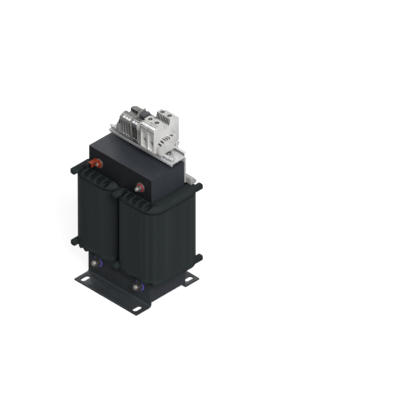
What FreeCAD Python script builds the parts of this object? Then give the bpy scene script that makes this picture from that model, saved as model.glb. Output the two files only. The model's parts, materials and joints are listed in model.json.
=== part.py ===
import FreeCAD, Part
import math
import os
from dataclasses import dataclass

# Single-phase open dry-type transformer: a two-limb core with a coil on each limb, two angle feet,
# and a terminal strip on a rail above the core.
# X runs along the width, Y from the wiring side at the front to the back, Z up.
# The origin is the centre of the base, on the underside of the feet. Lengths are in millimetres.

V = FreeCAD.Vector

# Core
core_width = 150.0
core_depth = 78.0
core_height = 252.0
limb_width = 50.0
yoke_height = 50.0
core_raise = 10.0
core_bolt_hole_diameter = 10.0

# Bobbin
limb_clearance = 0.4
tube_wall = 1.8
yoke_clearance = 0.3
collar_height = 3.4
bottom_collar_height = 1.7
flange_thickness = 5.2
coil_gap = 2.0
coil_half_depth = 60.0
coil_corner_radius = 29.0
crown_height = 7.0
crown_chamfer = 6.4
crown_yoke_gap = 1.0
crown_side_gap = 3.0
groove_pitch = 14.8
groove_count = 5
groove_width = 9.6
groove_depth = 6.2
groove_overrun = 1.0
lower_crown_chamfer = 0.8
lower_groove_pitch = 14.0
lower_groove_count = 6
lower_groove_width = 9.4
lower_groove_depth = 4.4
ear_radius = 6.4
ear_side_inset = 1.3
ear_reach = 4.1
ear_rise = 0.5
lower_ear_drop = 1.05
ear_inner_end = 20.0
ear_end_bevel = 2.6

# Windings
layer_gap = 0.15
inner_winding_build_side = 9.6
inner_winding_build_face = 8.2
inner_winding_corner = 12.0
tube_corner = 2.0
interlayer_thickness = 0.9
wrap_thickness = 1.0
winding_end_gap = 0.3

# Feet
foot_sheet = 3.0
foot_reach = 37.0
foot_height = 58.0
foot_inner_bend = 3.0
foot_corner = 1.0
foot_slot_width = 9.0
foot_slot_length = 18.0
foot_slot_from_end = 12.5
foot_slot_from_toe = 14.5

# Through bolts and what is on them
bolt_height_in_yoke = 25.0
bolt_tip_chamfer = 1.0
nut_bore_clearance = 0.05
washer_play = 0.4
washer_thickness = 1.6
upper_bolt_diameter = 6.0
upper_across_flats = 10.0
upper_head_height = 4.0
upper_nut_height = 5.0
upper_stickout = 4.4
upper_washer_diameter = 18.0
lower_bolt_diameter = 8.0
lower_across_flats = 13.0
lower_head_height = 5.3
lower_nut_height = 6.8
lower_stickout = 4.0
lower_washer_diameter = 16.0
red_washer_diameter = 15.4
red_washer_thickness = 1.5
red_spacer_diameter = 17.6
red_spacer_thickness = 1.5
blue_washer_diameter = 20.0
blue_washer_thickness = 1.5
sleeve_clearance = 0.1
sleeve_wall = 0.7

# Earth lug
earth_nut_height = 3.2
earth_stickout = 1.2
lug_thickness = 1.2
lug_ring_diameter = 15.4
lug_nut_clearance = 0.6
lug_tab_width = 8.0
lug_tab_length = 16.0
lug_side_tab_length = 10.0
lug_side_tab_drop = 6.6

# Rail bracket
bracket_sheet = 3.0
bracket_gap = 8.0
bracket_inner_bend = 2.0
bracket_lip_drop = 5.6
bracket_leg_height = 54.0
bracket_front = 8.9

# Mounting rail, 35 mm wide hat section
rail_width = 35.0
rail_height = 7.5
rail_sheet = 1.0
rail_channel_width = 27.0
rail_centre_y = 27.0
rail_slot_pitch = 25.0
rail_slot_length = 15.0
rail_slot_width = 6.2
rail_screw_slots_in = 1
rail_screw_diameter = 5.0
rail_screw_head_diameter = 9.5
rail_screw_head_height = 3.2
rail_screw_head_bevel = 0.9
rail_screw_slot_width = 1.1
rail_screw_slot_depth = 1.6
rail_screw_length = 10.0
rail_screw_clearance = 0.05

# Terminal feet on the rail
rail_grip_clearance = 0.2
hook_drop = 4.4
hook_wall = 2.8
hook_overlap = 2.4

# Row on the rail, from left to right
strip_from_end = 24.0
small_terminal_count = 4
small_terminal_width = 6.1
cover_plate_width = 2.1
partition_width = 2.2
fuse_terminal_count = 2
end_clamp_width = 7.9
large_terminal_count = 2
large_terminal_width = 16.0
side_gap = 0.1
clamp_side_gap = 0.4

# Small terminal outline, as distances from its own centre line and heights above the rail
small_forward = 3.6
small_half_depth = 21.4
small_foot_half_depth = 18.9
small_heel_height = 7.0
small_heel_bevel = 2.0
small_brow_step_depth = 1.0
small_brow_step_height = 2.0
small_brow_height = 30.0
small_face_height = 36.5
small_shoulder_half = 12.7
small_top_height = 41.5
small_trough_half = 5.6
small_trough_depth = 7.0
small_recess_width = 3.8
small_recess_depth = 5.0
small_recess_bottom = 4.5
small_recess_top = 31.0

# Large terminal outline, as distances from the rail's centre line and heights above the rail
large_half_depth = 30.0
large_chin_height = 5.0
large_chin_half = 22.0
large_shoulder_half = 23.0
large_shoulder_rise = 3.0
large_tower_half = 20.5
large_tower_rise = 4.0
large_top_height = 57.5
large_trough_half = 6.5
large_tower_inner = 9.3
large_trough_depth = 13.5
large_arch_width = 12.4
large_arch_top = 40.0
large_arch_bottom = 8.0
large_arch_depth = 2.6
dowel_recess_diameter = 8.0
dowel_recess_depth = 1.0
dowel_recess_offset = 17.0
dowel_recess_height = 23.0

# Screw clamps in the small terminals
clamp_play = 0.2
small_housing_wall = 0.6
small_clamp_offset = 9.3
small_cage_depth = 6.0
small_cage_height = 8.0
small_cage_wall = 0.7
small_cage_rise = 14.0
small_bar_side_clearance = 0.2
small_bar_headroom = 0.7
small_bar_thickness = 1.0
small_screw_diameter = 2.6
small_screw_head = 3.6
small_screw_head_height = 1.8
small_screw_sink = 3.4
small_screw_slot_width = 0.7
small_screw_slot_depth = 0.6
small_entry_diameter = 3.6
small_entry_rise = 3.0

# Screw clamps in the large terminals
large_housing_wall = 1.55
large_clamp_offset = 14.9
large_cage_depth = 10.4
large_cage_height = 17.0
large_cage_wall = 1.4
large_cage_rise = 12.0
large_bar_side_clearance = 0.5
large_bar_headroom = 1.0
large_bar_thickness = 2.0
large_screw_diameter = 6.0
large_screw_head = 8.0
large_screw_head_height = 4.0
large_screw_sink = 3.0
large_screw_slot_width = 1.6
large_screw_slot_depth = 1.3
large_entry_diameter = 9.6
large_entry_rise = 7.0

# Plates and plugs between the terminals
partition_margin = 1.5
partition_ramp_front = 7.9
partition_crest_front = 1.4
partition_crest_rear = 13.1
partition_crest_rise = 8.0
plug_front = 2.7
plug_rear = 13.0
plug_rise = 6.0
plug_blade = 1.0
plug_blade_depth = 6.0
plug_blade_length = 2.6
plug_blade_offset = 2.0
plug_grip_depth = 2.0

# End clamps, as distances from the rail's centre line and heights above the rail
clamp_front_reach = 24.5
clamp_nose_height = 14.0
clamp_brow_reach = 22.0
clamp_brow_height = 20.6
clamp_shoulder_reach = 11.4
clamp_shoulder_height = 27.8
clamp_tail_reach = 16.3
clamp_tail_height = 25.5
clamp_rear_reach = 20.3
clamp_rear_height = 20.0
clamp_undercut_reach = 12.2
clamp_undercut_height = 9.7
clamp_waist_reach = 11.2
clamp_base_height = 2.5
clamp_tooth_width = 2.6
clamp_tooth_pitch = 5.0
clamp_tooth_depth = 2.6
clamp_teeth = 5
latch_eye_radius = 4.6
latch_eye_bore = 2.2
latch_eye_reach = 19.0
latch_eye_height = 5.8
clamp_screw_to_waist = 3.2
clamp_seat_height = 14.0
clamp_screw_hole = 6.0
clamp_screw_diameter = 4.0
clamp_screw_head = 5.6
clamp_screw_head_height = 2.4
clamp_screw_slot_width = 1.1
clamp_screw_slot_depth = 0.8

# Marker tags
tag_thickness = 0.9
tag_side_margin = 0.6
small_tag_low_inset = 0.16
small_tag_high_inset = 0.44
large_tag_inset = 0.18

# Rear contact block
contact_block_overhang = 12.0
contact_block_length = 27.0
contact_block_depth = 13.2
contact_block_height = 12.0
contact_crown_clearance = 1.5
contact_ledge_height = 5.0
contact_ledge_depth = 6.0
contact_pitch = 8.2
contact_poles = 2
contact_hole = 4.0
contact_screw_from_end = 4.5
contact_screw_diameter = 3.0
contact_screw_head = 5.0
contact_screw_head_height = 1.5

# How close an edge lies to a place to be picked for a round
pick_reach = 0.01

# Places worked out from the sizes above
core_bottom = core_raise
core_top = core_raise + core_height
window_bottom = core_bottom + yoke_height
window_top = core_top - yoke_height
core_half = core_width / 2
face_y = core_depth / 2
limb_axis = core_half - limb_width / 2
bolt_axis_x = limb_axis
lower_bolt_z = core_bottom + yoke_height - bolt_height_in_yoke
upper_bolt_z = window_top + bolt_height_in_yoke
coil_half_width = limb_axis - coil_gap / 2
bottom_flange_z = window_bottom + yoke_clearance + collar_height
top_flange_z = window_top - yoke_clearance - bottom_collar_height
winding_bottom = bottom_flange_z + flange_thickness
winding_top = top_flange_z - flange_thickness
tube_half_x = limb_width / 2 + limb_clearance + tube_wall
tube_half_y = core_depth / 2 + limb_clearance + tube_wall
sleeve_outer = core_bolt_hole_diameter / 2 - sleeve_clearance
sleeve_inner = sleeve_outer - sleeve_wall
foot_toe_y = face_y + foot_reach
foot_slot_x = core_half - foot_slot_from_end
foot_slot_y = foot_toe_y - foot_slot_from_toe
leg_front = face_y + red_spacer_thickness
leg_rear = leg_front + bracket_sheet
crown_top = top_flange_z + crown_height
plate_top = core_top + bracket_gap + bracket_sheet
plate_bottom = plate_top - bracket_sheet
rail_bottom = plate_top
rail_top = rail_bottom + rail_height
rail_front = rail_centre_y - rail_width / 2
rail_rear = rail_centre_y + rail_width / 2
rail_slots_each_side = int(core_half // rail_slot_pitch)
rail_screw_x = rail_slot_pitch * (rail_slots_each_side - rail_screw_slots_in)
small_centre_y = rail_centre_y - small_forward
heel_reach = rail_width / 2 + rail_grip_clearance + hook_wall
strip_left = -core_half + strip_from_end
small_terminals_x = strip_left + end_clamp_width + side_gap
cover_plate_x = small_terminals_x + small_terminal_width * small_terminal_count
partition_x = cover_plate_x + cover_plate_width
fuse_terminals_x = partition_x + partition_width
light_terminal_x = fuse_terminals_x + small_terminal_width * fuse_terminal_count + side_gap
middle_clamp_x = light_terminal_x + small_terminal_width + clamp_side_gap
large_terminals_x = middle_clamp_x + end_clamp_width + clamp_side_gap
right_clamp_x = large_terminals_x + large_terminal_width * large_terminal_count
large_shoulder_height = large_top_height - large_tower_rise
large_face_height = large_shoulder_height - large_shoulder_rise
contact_block_x = core_half + contact_block_overhang - contact_block_length
contact_block_bottom = crown_top + contact_crown_clearance


# Basic shapes
def box(x0, x1, y0, y1, z0, z1):
    return Part.makeBox(x1 - x0, y1 - y0, z1 - z0, V(x0, y0, z0))


def cylinder_x(y, z, radius, x0, x1):
    return Part.makeCylinder(radius, x1 - x0, V(x0, y, z), V(1, 0, 0))


def cylinder_y(x, z, radius, y0, y1):
    return Part.makeCylinder(radius, y1 - y0, V(x, y0, z), V(0, 1, 0))


def cylinder_z(x, y, radius, z0, z1):
    return Part.makeCylinder(radius, z1 - z0, V(x, y, z0), V(0, 0, 1))


def prism_x(points, x0, x1):
    wire = Part.makePolygon([V(x0, y, z) for y, z in points + points[:1]])
    return Part.Face(wire).extrude(V(x1 - x0, 0, 0))


def prism_y(points, y0, y1):
    wire = Part.makePolygon([V(x, y0, z) for x, z in points + points[:1]])
    return Part.Face(wire).extrude(V(0, y1 - y0, 0))


def ring_y(x, z, outer_diameter, inner_diameter, y0, y1):
    outer = cylinder_y(x, z, outer_diameter / 2, y0, y1)
    return outer.cut(cylinder_y(x, z, inner_diameter / 2, y0, y1))


def hexagon_y(x, z, across_flats, y0, y1):
    corner = across_flats / math.sqrt(3)
    angles = [math.radians(60 * step) for step in range(6)]
    points = [(x + corner * math.cos(a), z + corner * math.sin(a)) for a in angles]
    return prism_y(points, y0, y1)


def is_upright(edge):
    return edge.BoundBox.XLength < pick_reach and edge.BoundBox.YLength < pick_reach


def level_edges(shape, z):
    """The edges that lie in one level plane."""
    return [e for e in shape.Edges
            if abs(e.BoundBox.ZMin - z) < pick_reach and abs(e.BoundBox.ZMax - z) < pick_reach]


def rounded_block(centre_x, half_x, half_y, radius, z0, z1):
    """A block with round upright corners, centred on a limb."""
    block = box(centre_x - half_x, centre_x + half_x, -half_y, half_y, z0, z1)
    upright = [e for e in block.Edges if is_upright(e)]
    return block.makeFillet(radius, upright)


def slot_z(x, y, width, length, along_y, z0, z1):
    """A round-ended slot cutter through a level sheet."""
    half = (length - width) / 2
    dx, dy = (0.0, half) if along_y else (half, 0.0)
    ends = [cylinder_z(x - dx, y - dy, width / 2, z0, z1), cylinder_z(x + dx, y + dy, width / 2, z0, z1)]
    hx, hy = (width / 2, half) if along_y else (half, width / 2)
    return box(x - hx, x + hx, y - hy, y + hy, z0, z1).fuse(ends)


def turned(shape):
    """The same shape at the back: half a turn about the upright axis."""
    copy = shape.copy()
    copy.rotate(V(0, 0, 0), V(0, 0, 1), 180)
    return copy


def bent_strip(path, sheet):
    """Section of a folded sheet in the YZ plane: a path of straight runs on its outer face,
    given thickness to the left of its direction, with sharp corners."""
    directions = []
    for (y0, z0), (y1, z1) in zip(path, path[1:]):
        length = math.hypot(y1 - y0, z1 - z0)
        directions.append(((y1 - y0) / length, (z1 - z0) / length))
    inner = []
    for index, (y, z) in enumerate(path):
        before = directions[max(index - 1, 0)]
        after = directions[min(index, len(directions) - 1)]
        normal = (-before[1] - after[1], before[0] + after[0])
        share = 1 + before[0] * after[0] + before[1] * after[1]
        inner.append((y + sheet * normal[0] / share, z + sheet * normal[1] / share))
    return path + inner[::-1]


def save(name, *shapes):
    """Write one node: a single solid, or a group of separate solids."""
    solids = [solid for shape in shapes for solid in shape.Solids]
    for solid in solids:
        assert solid.isValid() and solid.isClosed() and solid.Volume > 0, name
    whole = solids[0] if len(solids) == 1 else Part.makeCompound(solids)
    whole.exportStep("parts/" + name + ".step")
    print(name, len(solids), "solids", round(whole.Volume / 1000, 2), "cm3")


# Core
def bolt_places(z):
    return [(-bolt_axis_x, z), (bolt_axis_x, z)]


def core_bolt_holes(z):
    radius = core_bolt_hole_diameter / 2
    return [cylinder_y(x, z, radius, -face_y, face_y) for x, z in bolt_places(z)]


def core_u_stack():
    body = box(-core_half, core_half, -face_y, face_y, core_bottom, window_top)
    window_half = core_half - limb_width
    window = box(-window_half, window_half, -face_y, face_y, window_bottom, window_top)
    return body.cut([window] + core_bolt_holes(lower_bolt_z))


def core_i_stack():
    body = box(-core_half, core_half, -face_y, face_y, window_top, core_top)
    return body.cut(core_bolt_holes(upper_bolt_z))


# Coils
def coil_outline(centre_x, shrink, z0, z1):
    radius = coil_corner_radius - shrink
    return rounded_block(centre_x, coil_half_width - shrink, coil_half_depth - shrink, radius, z0, z1)


def limb_hole(centre_x, z0, z1):
    half_x = limb_width / 2 + limb_clearance
    half_y = core_depth / 2 + limb_clearance
    return box(centre_x - half_x, centre_x + half_x, -half_y, half_y, z0, z1)


@dataclass(frozen=True)
class Crown:
    """Raised ring on the outer face of a flange, bevelled at its edge, with round-bottomed grooves between
    ribs in front of the yoke and behind it. Side is 1 above the coil and -1 below it."""

    plate_z: float
    side: int
    chamfer: float
    groove_pitch: float
    groove_count: int
    groove_width: float
    groove_depth: float
    clear_front: float
    clear_rear: float

    @property
    def crest_z(self):
        return self.plate_z + self.side * crown_height

    def groove(self, x, y0, y1):
        """Cutter for one groove, open at the crest."""
        radius = self.groove_width / 2
        axis_z = self.crest_z - self.side * (self.groove_depth - radius)
        z0, z1 = sorted((axis_z, self.crest_z + self.side * radius))
        return [cylinder_y(x, axis_z, radius, y0, y1), box(x - radius, x + radius, y0, y1, z0, z1)]

    def solid(self, centre_x):
        z0, z1 = sorted((self.plate_z, self.crest_z))
        block = coil_outline(centre_x, 0.0, z0, z1)
        block = block.makeChamfer(self.chamfer, level_edges(block, self.crest_z))
        half_x = core_half + crown_side_gap
        cutters = [box(-half_x, half_x, -self.clear_front, self.clear_rear, z0, z1)]
        past = coil_half_depth + groove_overrun
        for index in range(self.groove_count):
            x = centre_x + (index - (self.groove_count - 1) / 2) * self.groove_pitch
            cutters += self.groove(x, -past, groove_overrun - self.clear_front)
            cutters += self.groove(x, self.clear_rear - groove_overrun, past)
        return block.cut(cutters)


upper_crown = Crown(
    plate_z=top_flange_z,
    side=1,
    chamfer=crown_chamfer,
    groove_pitch=groove_pitch,
    groove_count=groove_count,
    groove_width=groove_width,
    groove_depth=groove_depth,
    clear_front=face_y + crown_yoke_gap,
    clear_rear=leg_rear + crown_yoke_gap,
)
lower_crown = Crown(
    plate_z=bottom_flange_z,
    side=-1,
    chamfer=lower_crown_chamfer,
    groove_pitch=lower_groove_pitch,
    groove_count=lower_groove_count,
    groove_width=lower_groove_width,
    groove_depth=lower_groove_depth,
    clear_front=face_y + foot_sheet + crown_yoke_gap,
    clear_rear=face_y + foot_sheet + crown_yoke_gap,
)


def ear(x, z, y0, y1):
    """Round lead guide along the edge of a flange, with bevelled ends."""
    bar = cylinder_y(x, z, ear_radius, y0, y1)
    ends = [e for e in bar.Edges if isinstance(e.Curve, Part.Circle)]
    return bar.makeChamfer(ear_end_bevel, ends)


def ears(centre_x, z, crown):
    """One ear at the front of the coil's left edge and one at the back of its right edge.
    Beside the core each runs on along the straight edge, and between the coils it stops at the yoke."""
    from_centre = coil_half_width - ear_side_inset - ear_radius
    left_x, right_x = centre_x - from_centre, centre_x + from_centre
    end_y = coil_half_depth + ear_reach
    left_end = ear_inner_end if left_x < -core_half else crown.clear_front
    right_end = ear_inner_end if right_x > core_half else crown.clear_rear
    return [ear(left_x, z, -end_y, -left_end), ear(right_x, z, right_end, end_y)]


def bobbin(centre_x):
    """Moulded former: a tube around the limb with a flange, a crown and two ears at each end."""
    tube_bottom = window_bottom + yoke_clearance
    tube_top = window_top - yoke_clearance
    wound_space = coil_outline(centre_x, -layer_gap, winding_bottom, winding_top)
    guides = ears(centre_x, top_flange_z + ear_rise, upper_crown)
    guides += ears(centre_x, bottom_flange_z - lower_ear_drop, lower_crown)
    pieces = [
        coil_outline(centre_x, 0.0, bottom_flange_z, winding_bottom),
        coil_outline(centre_x, 0.0, winding_top, top_flange_z),
        upper_crown.solid(centre_x),
        lower_crown.solid(centre_x),
    ]
    pieces += [guide.cut(wound_space) for guide in guides]
    tube = rounded_block(centre_x, tube_half_x, tube_half_y, tube_corner, tube_bottom, tube_top)
    return tube.fuse(pieces).cut(limb_hole(centre_x, tube_bottom, tube_top)).removeSplitter()


def ring_layer(centre_x, inner, outer, z0, z1):
    """A wound layer between two outlines, each given as half width, half depth and corner radius."""
    return rounded_block(centre_x, *outer, z0, z1).cut(rounded_block(centre_x, *inner, z0, z1))


def grown(outline, step):
    return tuple(value + step for value in outline)


def save_coil(side, centre_x):
    z0 = winding_bottom + winding_end_gap
    z1 = winding_top - winding_end_gap
    tube = (tube_half_x, tube_half_y, tube_corner)
    inner_outside = (
        tube_half_x + layer_gap + inner_winding_build_side,
        tube_half_y + layer_gap + inner_winding_build_face,
        inner_winding_corner,
    )
    paper_inside = grown(inner_outside, layer_gap)
    paper_outside = grown(paper_inside, interlayer_thickness)
    wrap_outside = (coil_half_width, coil_half_depth, coil_corner_radius)
    wrap_inside = grown(wrap_outside, -wrap_thickness)
    save(side + "_bobbin", bobbin(centre_x))
    save(side + "_inner_winding", ring_layer(centre_x, grown(tube, layer_gap), inner_outside, z0, z1))
    save(side + "_interlayer_insulation", ring_layer(centre_x, paper_inside, paper_outside, z0, z1))
    outer_inside = grown(paper_outside, layer_gap)
    outer_outside = grown(wrap_inside, -layer_gap)
    save(side + "_outer_winding", ring_layer(centre_x, outer_inside, outer_outside, z0, z1))
    save(side + "_outer_wrap", ring_layer(centre_x, wrap_inside, wrap_outside, winding_bottom, winding_top))


# Feet
def front_foot():
    """Angle foot folded from one sheet, its upright flange flat against the core."""
    back = -face_y
    toe = -foot_toe_y
    outline = bent_strip([(toe, 0.0), (back, 0.0), (back, foot_height)], foot_sheet)
    foot = prism_x(outline, -core_half, core_half)
    foot = round_fold(foot, back, 0.0, foot_inner_bend + foot_sheet)
    foot = round_fold(foot, back - foot_sheet, foot_sheet, foot_inner_bend)
    corners = [e for e in foot.Edges if is_upright(e) and abs(e.CenterOfMass.y - toe) < pick_reach]
    foot = foot.makeFillet(foot_corner, corners)
    slots = []
    for side in (-1, 1):
        x = side * foot_slot_x
        slots.append(slot_z(x, -foot_slot_y, foot_slot_width, foot_slot_length, True, 0.0, foot_sheet))
    radius = core_bolt_hole_diameter / 2
    holes = [cylinder_y(x, z, radius, back - foot_sheet, back) for x, z in bolt_places(lower_bolt_z)]
    return foot.cut(slots + holes)


def round_fold(sheet, y, z, radius):
    """Round the fold line that runs along X at a place in the section."""
    fold = []
    for edge in sheet.Edges:
        centre = edge.CenterOfMass
        along_x = edge.BoundBox.YLength < pick_reach and edge.BoundBox.ZLength < pick_reach
        if along_x and abs(centre.y - y) < pick_reach and abs(centre.z - z) < pick_reach:
            fold.append(edge)
    return sheet.makeFillet(radius, fold)


# Through bolts
@dataclass(frozen=True)
class BoltSizes:
    """A through bolt, its nut, and the steel washers under nut and head."""

    diameter: float
    across_flats: float
    head_height: float
    washer_diameter: float

    @property
    def bore(self):
        return self.diameter + washer_play

    def bolt(self, x, z, seat_y, tip_y):
        """Bolt with its head at the back; the shank runs forwards to a chamfered tip."""
        head = hexagon_y(x, z, self.across_flats, seat_y, seat_y + self.head_height)
        shank = cylinder_y(x, z, self.diameter / 2, tip_y, seat_y)
        tip = [e for e in shank.Edges if abs(e.CenterOfMass.y - tip_y) < pick_reach and e.Closed]
        return head.fuse(shank.makeChamfer(bolt_tip_chamfer, tip)).removeSplitter()

    def nut(self, x, z, seat_y, height):
        """Nut with a bevelled outer face, screwed up to its seat from the front."""
        front = seat_y - height
        nut = hexagon_y(x, z, self.across_flats, front, seat_y)
        half = self.across_flats / 2
        bevel = Part.makeCone(half, half + height, height, V(x, front, z), V(0, 1, 0))
        bore = cylinder_y(x, z, self.diameter / 2 + nut_bore_clearance, front, seat_y)
        return nut.common(bevel).cut(bore)

    def washer(self, x, z, y0):
        return ring_y(x, z, self.washer_diameter, self.bore, y0, y0 + washer_thickness)


upper_set = BoltSizes(
    diameter=upper_bolt_diameter,
    across_flats=upper_across_flats,
    head_height=upper_head_height,
    washer_diameter=upper_washer_diameter,
)
lower_set = BoltSizes(
    diameter=lower_bolt_diameter,
    across_flats=lower_across_flats,
    head_height=lower_head_height,
    washer_diameter=lower_washer_diameter,
)


def sleeve(x, z, y0, y1):
    return ring_y(x, z, 2 * sleeve_outer, 2 * sleeve_inner, y0, y1)


def save_lower_bolts():
    """Each lower bolt clamps both feet, with a blue washer under each steel one.
    Gives the nuts, washers and sleeves, which are saved with the upper ones."""
    reach = face_y + foot_sheet
    ring_face = reach + blue_washer_thickness
    nut_seat = -(ring_face + washer_thickness)
    bolts, rings, nuts, washers, sleeves = [], [], [], [], []
    for x, z in bolt_places(lower_bolt_z):
        bolts.append(lower_set.bolt(x, z, -nut_seat, nut_seat - lower_nut_height - lower_stickout))
        ring = ring_y(x, z, blue_washer_diameter, lower_set.bore, -ring_face, -reach)
        rings += [ring, turned(ring)]
        nuts.append(lower_set.nut(x, z, nut_seat, lower_nut_height))
        washers += [lower_set.washer(x, z, nut_seat), lower_set.washer(x, z, ring_face)]
        sleeves.append(sleeve(x, z, -reach, reach))
    save("lower_bolts", *bolts)
    save("blue_insulating_washers", *rings)
    return nuts, washers, sleeves


def save_upper_bolts():
    """The upper bolts hold the bracket's leg at the back, on red spacers. In front the left one carries
    the earth lug and the right one a red washer. Gives the nuts, washers and sleeves."""
    left, right = bolt_places(upper_bolt_z)
    steel_front = -(face_y + washer_thickness)
    lug_front = steel_front - lug_thickness
    red_front = steel_front - red_washer_thickness
    tips = {
        left: lug_front - earth_nut_height - earth_stickout,
        right: red_front - upper_nut_height - upper_stickout,
    }
    nuts = [
        upper_set.nut(*left, lug_front, earth_nut_height),
        upper_set.nut(*right, red_front, upper_nut_height),
    ]
    bolts, rings, washers, sleeves = [], [], [], []
    for (x, z), tip in tips.items():
        bolts.append(upper_set.bolt(x, z, leg_rear + washer_thickness, tip))
        rings.append(ring_y(x, z, red_spacer_diameter, core_bolt_hole_diameter, face_y, leg_front))
        washers += [upper_set.washer(x, z, steel_front), upper_set.washer(x, z, leg_rear)]
        sleeves.append(sleeve(x, z, -face_y, leg_rear))
    rings.append(ring_y(*right, red_washer_diameter, upper_set.bore, red_front, steel_front))
    save("upper_bolts", *bolts)
    save("red_insulating_washers", *rings)
    return nuts, washers, sleeves


def save_fasteners():
    names = ("hex_nuts", "steel_washers", "insulating_sleeves")
    for name, below, above in zip(names, save_lower_bolts(), save_upper_bolts()):
        save(name, *below, *above)


def earth_lug():
    """Ring under the left upper nut with two flat tabs folded forwards, one above and one beside it."""
    x, z = bolt_places(upper_bolt_z)[0]
    back = -(face_y + washer_thickness)
    front = back - lug_thickness
    clear = upper_across_flats / math.sqrt(3) + lug_nut_clearance
    top = z + clear + lug_thickness
    upper_web = box(x - lug_tab_width, x, front, back, z, top)
    upper_tab = box(x - lug_tab_width, x, front - lug_tab_length, front, top - lug_thickness, top)
    side_low, side_high = z - lug_side_tab_drop, z + lug_tab_width / 2
    side_left = x - clear - lug_thickness
    side_right = side_left + lug_thickness
    side_web = box(side_left, x, front, back, side_low, side_high)
    side_tab = box(side_left, side_right, front - lug_side_tab_length, front, side_low, side_high)
    ring = cylinder_y(x, z, lug_ring_diameter / 2, front, back)
    hole = cylinder_y(x, z, upper_set.bore / 2, front, back)
    return ring.fuse([upper_web, upper_tab, side_web, side_tab]).cut(hole).removeSplitter()


# Rail bracket and rail
def rail_screw_places():
    return [(-rail_screw_x, rail_centre_y), (rail_screw_x, rail_centre_y)]


def contact_screw_place():
    """The block's screw goes in above its ledge."""
    ledge_z = contact_block_bottom + contact_ledge_height
    above_ledge = contact_block_height - contact_ledge_height
    return contact_block_x + contact_screw_from_end, ledge_z + above_ledge / 2


def rail_bracket():
    """Folded sheet: a level plate under the rail with a short front lip, and a leg down the back."""
    leg_bottom = plate_top - bracket_leg_height
    path = [(leg_rear, leg_bottom), (leg_rear, plate_top), (bracket_front, plate_top),
            (bracket_front, plate_top - bracket_lip_drop)]
    sheet = prism_x(bent_strip(path, bracket_sheet), -core_half, core_half)
    outer_bend = bracket_inner_bend + bracket_sheet
    sheet = round_fold(sheet, leg_rear, plate_top, outer_bend)
    sheet = round_fold(sheet, leg_front, plate_bottom, bracket_inner_bend)
    sheet = round_fold(sheet, bracket_front, plate_top, bracket_sheet / 2)
    radius = core_bolt_hole_diameter / 2
    holes = [cylinder_y(x, z, radius, leg_front, leg_rear) for x, z in bolt_places(upper_bolt_z)]
    tapped = rail_screw_diameter / 2 + rail_screw_clearance
    holes += [cylinder_z(x, y, tapped, plate_bottom, plate_top) for x, y in rail_screw_places()]
    x, z = contact_screw_place()
    holes.append(cylinder_y(x, z, contact_screw_diameter / 2 + rail_screw_clearance, leg_front, leg_rear))
    return sheet.cut(holes)


def mounting_rail():
    """Hat-section rail with round-ended slots along its floor; the end slots are cut open."""
    half_channel = rail_channel_width / 2
    left, right = rail_centre_y - half_channel, rail_centre_y + half_channel
    floor = rail_bottom + rail_sheet
    lip_under = rail_top - rail_sheet
    section = [(rail_front, rail_top), (left + rail_sheet, rail_top), (left + rail_sheet, floor),
               (right - rail_sheet, floor), (right - rail_sheet, rail_top), (rail_rear, rail_top),
               (rail_rear, lip_under), (right, lip_under), (right, rail_bottom), (left, rail_bottom),
               (left, lip_under), (rail_front, lip_under)]
    rail = prism_x(section, -core_half, core_half)
    for y in (left, right):
        rail = round_fold(rail, y, rail_bottom, rail_sheet)
    slots = []
    for index in range(-rail_slots_each_side, rail_slots_each_side + 1):
        x = index * rail_slot_pitch
        slots.append(slot_z(x, rail_centre_y, rail_slot_width, rail_slot_length, False, rail_bottom, floor))
    return rail.cut(slots)


def rail_screw(x, y):
    seat = rail_bottom + rail_sheet
    head = cylinder_z(x, y, rail_screw_head_diameter / 2, seat, seat + rail_screw_head_height)
    top = seat + rail_screw_head_height
    head = head.makeChamfer(rail_screw_head_bevel, level_edges(head, top))
    shank = cylinder_z(x, y, rail_screw_diameter / 2, seat - rail_screw_length, seat)
    half_slot = rail_screw_slot_width / 2
    drive = box(x - rail_screw_head_diameter, x + rail_screw_head_diameter, y - half_slot, y + half_slot,
                top - rail_screw_slot_depth, top)
    return head.fuse(shank).cut(drive).removeSplitter()


# Terminals
def on_rail(points):
    """Turn distances from the rail's centre line and heights above the rail into section points."""
    return [(rail_centre_y + y, rail_top + z) for y, z in points]


def rail_foot(x0, x1):
    """Block under a terminal with hooks around both lips of the rail."""
    front = rail_front - rail_grip_clearance
    rear = rail_rear + rail_grip_clearance
    bottom = rail_top - hook_drop
    lip_under = rail_top - rail_sheet - rail_grip_clearance
    front_hook = [(front - hook_wall, rail_top), (front - hook_wall, bottom), (front + hook_overlap, bottom),
                  (front + hook_overlap, lip_under), (front, lip_under), (front, rail_top)]
    rear_hook = [(2 * rail_centre_y - y, z) for y, z in front_hook]
    return [prism_x(front_hook, x0, x1), prism_x(rear_hook, x0, x1)]


def mirrored(points):
    """A section that is the same before and behind a centre line."""
    return points + [(-y, z) for y, z in reversed(points)]


def small_section(points, heel_height, heel_rear):
    """Section of a small terminal or plate, from the points of its front half. It stands a little forward
    on the rail, so a low heel at the back reaches the rear lip."""
    body = [(y - small_forward, z) for y, z in mirrored(points)]
    rear_foot = body.pop()[0]
    heel = [(rear_foot, heel_height), (heel_rear, heel_height - small_heel_bevel), (heel_rear, 0.0)]
    return on_rail(body + heel)


def small_outline():
    top = small_top_height
    trough = top - small_trough_depth
    front_half = [
        (-small_foot_half_depth, 0.0),
        (-small_half_depth + small_brow_step_depth, small_brow_height - small_brow_step_height),
        (-small_half_depth, small_brow_height),
        (-small_half_depth, small_face_height),
        (-small_shoulder_half, top),
        (-small_trough_half, top),
        (-small_trough_half, trough),
    ]
    return small_section(front_half, small_heel_height, heel_reach)


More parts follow.
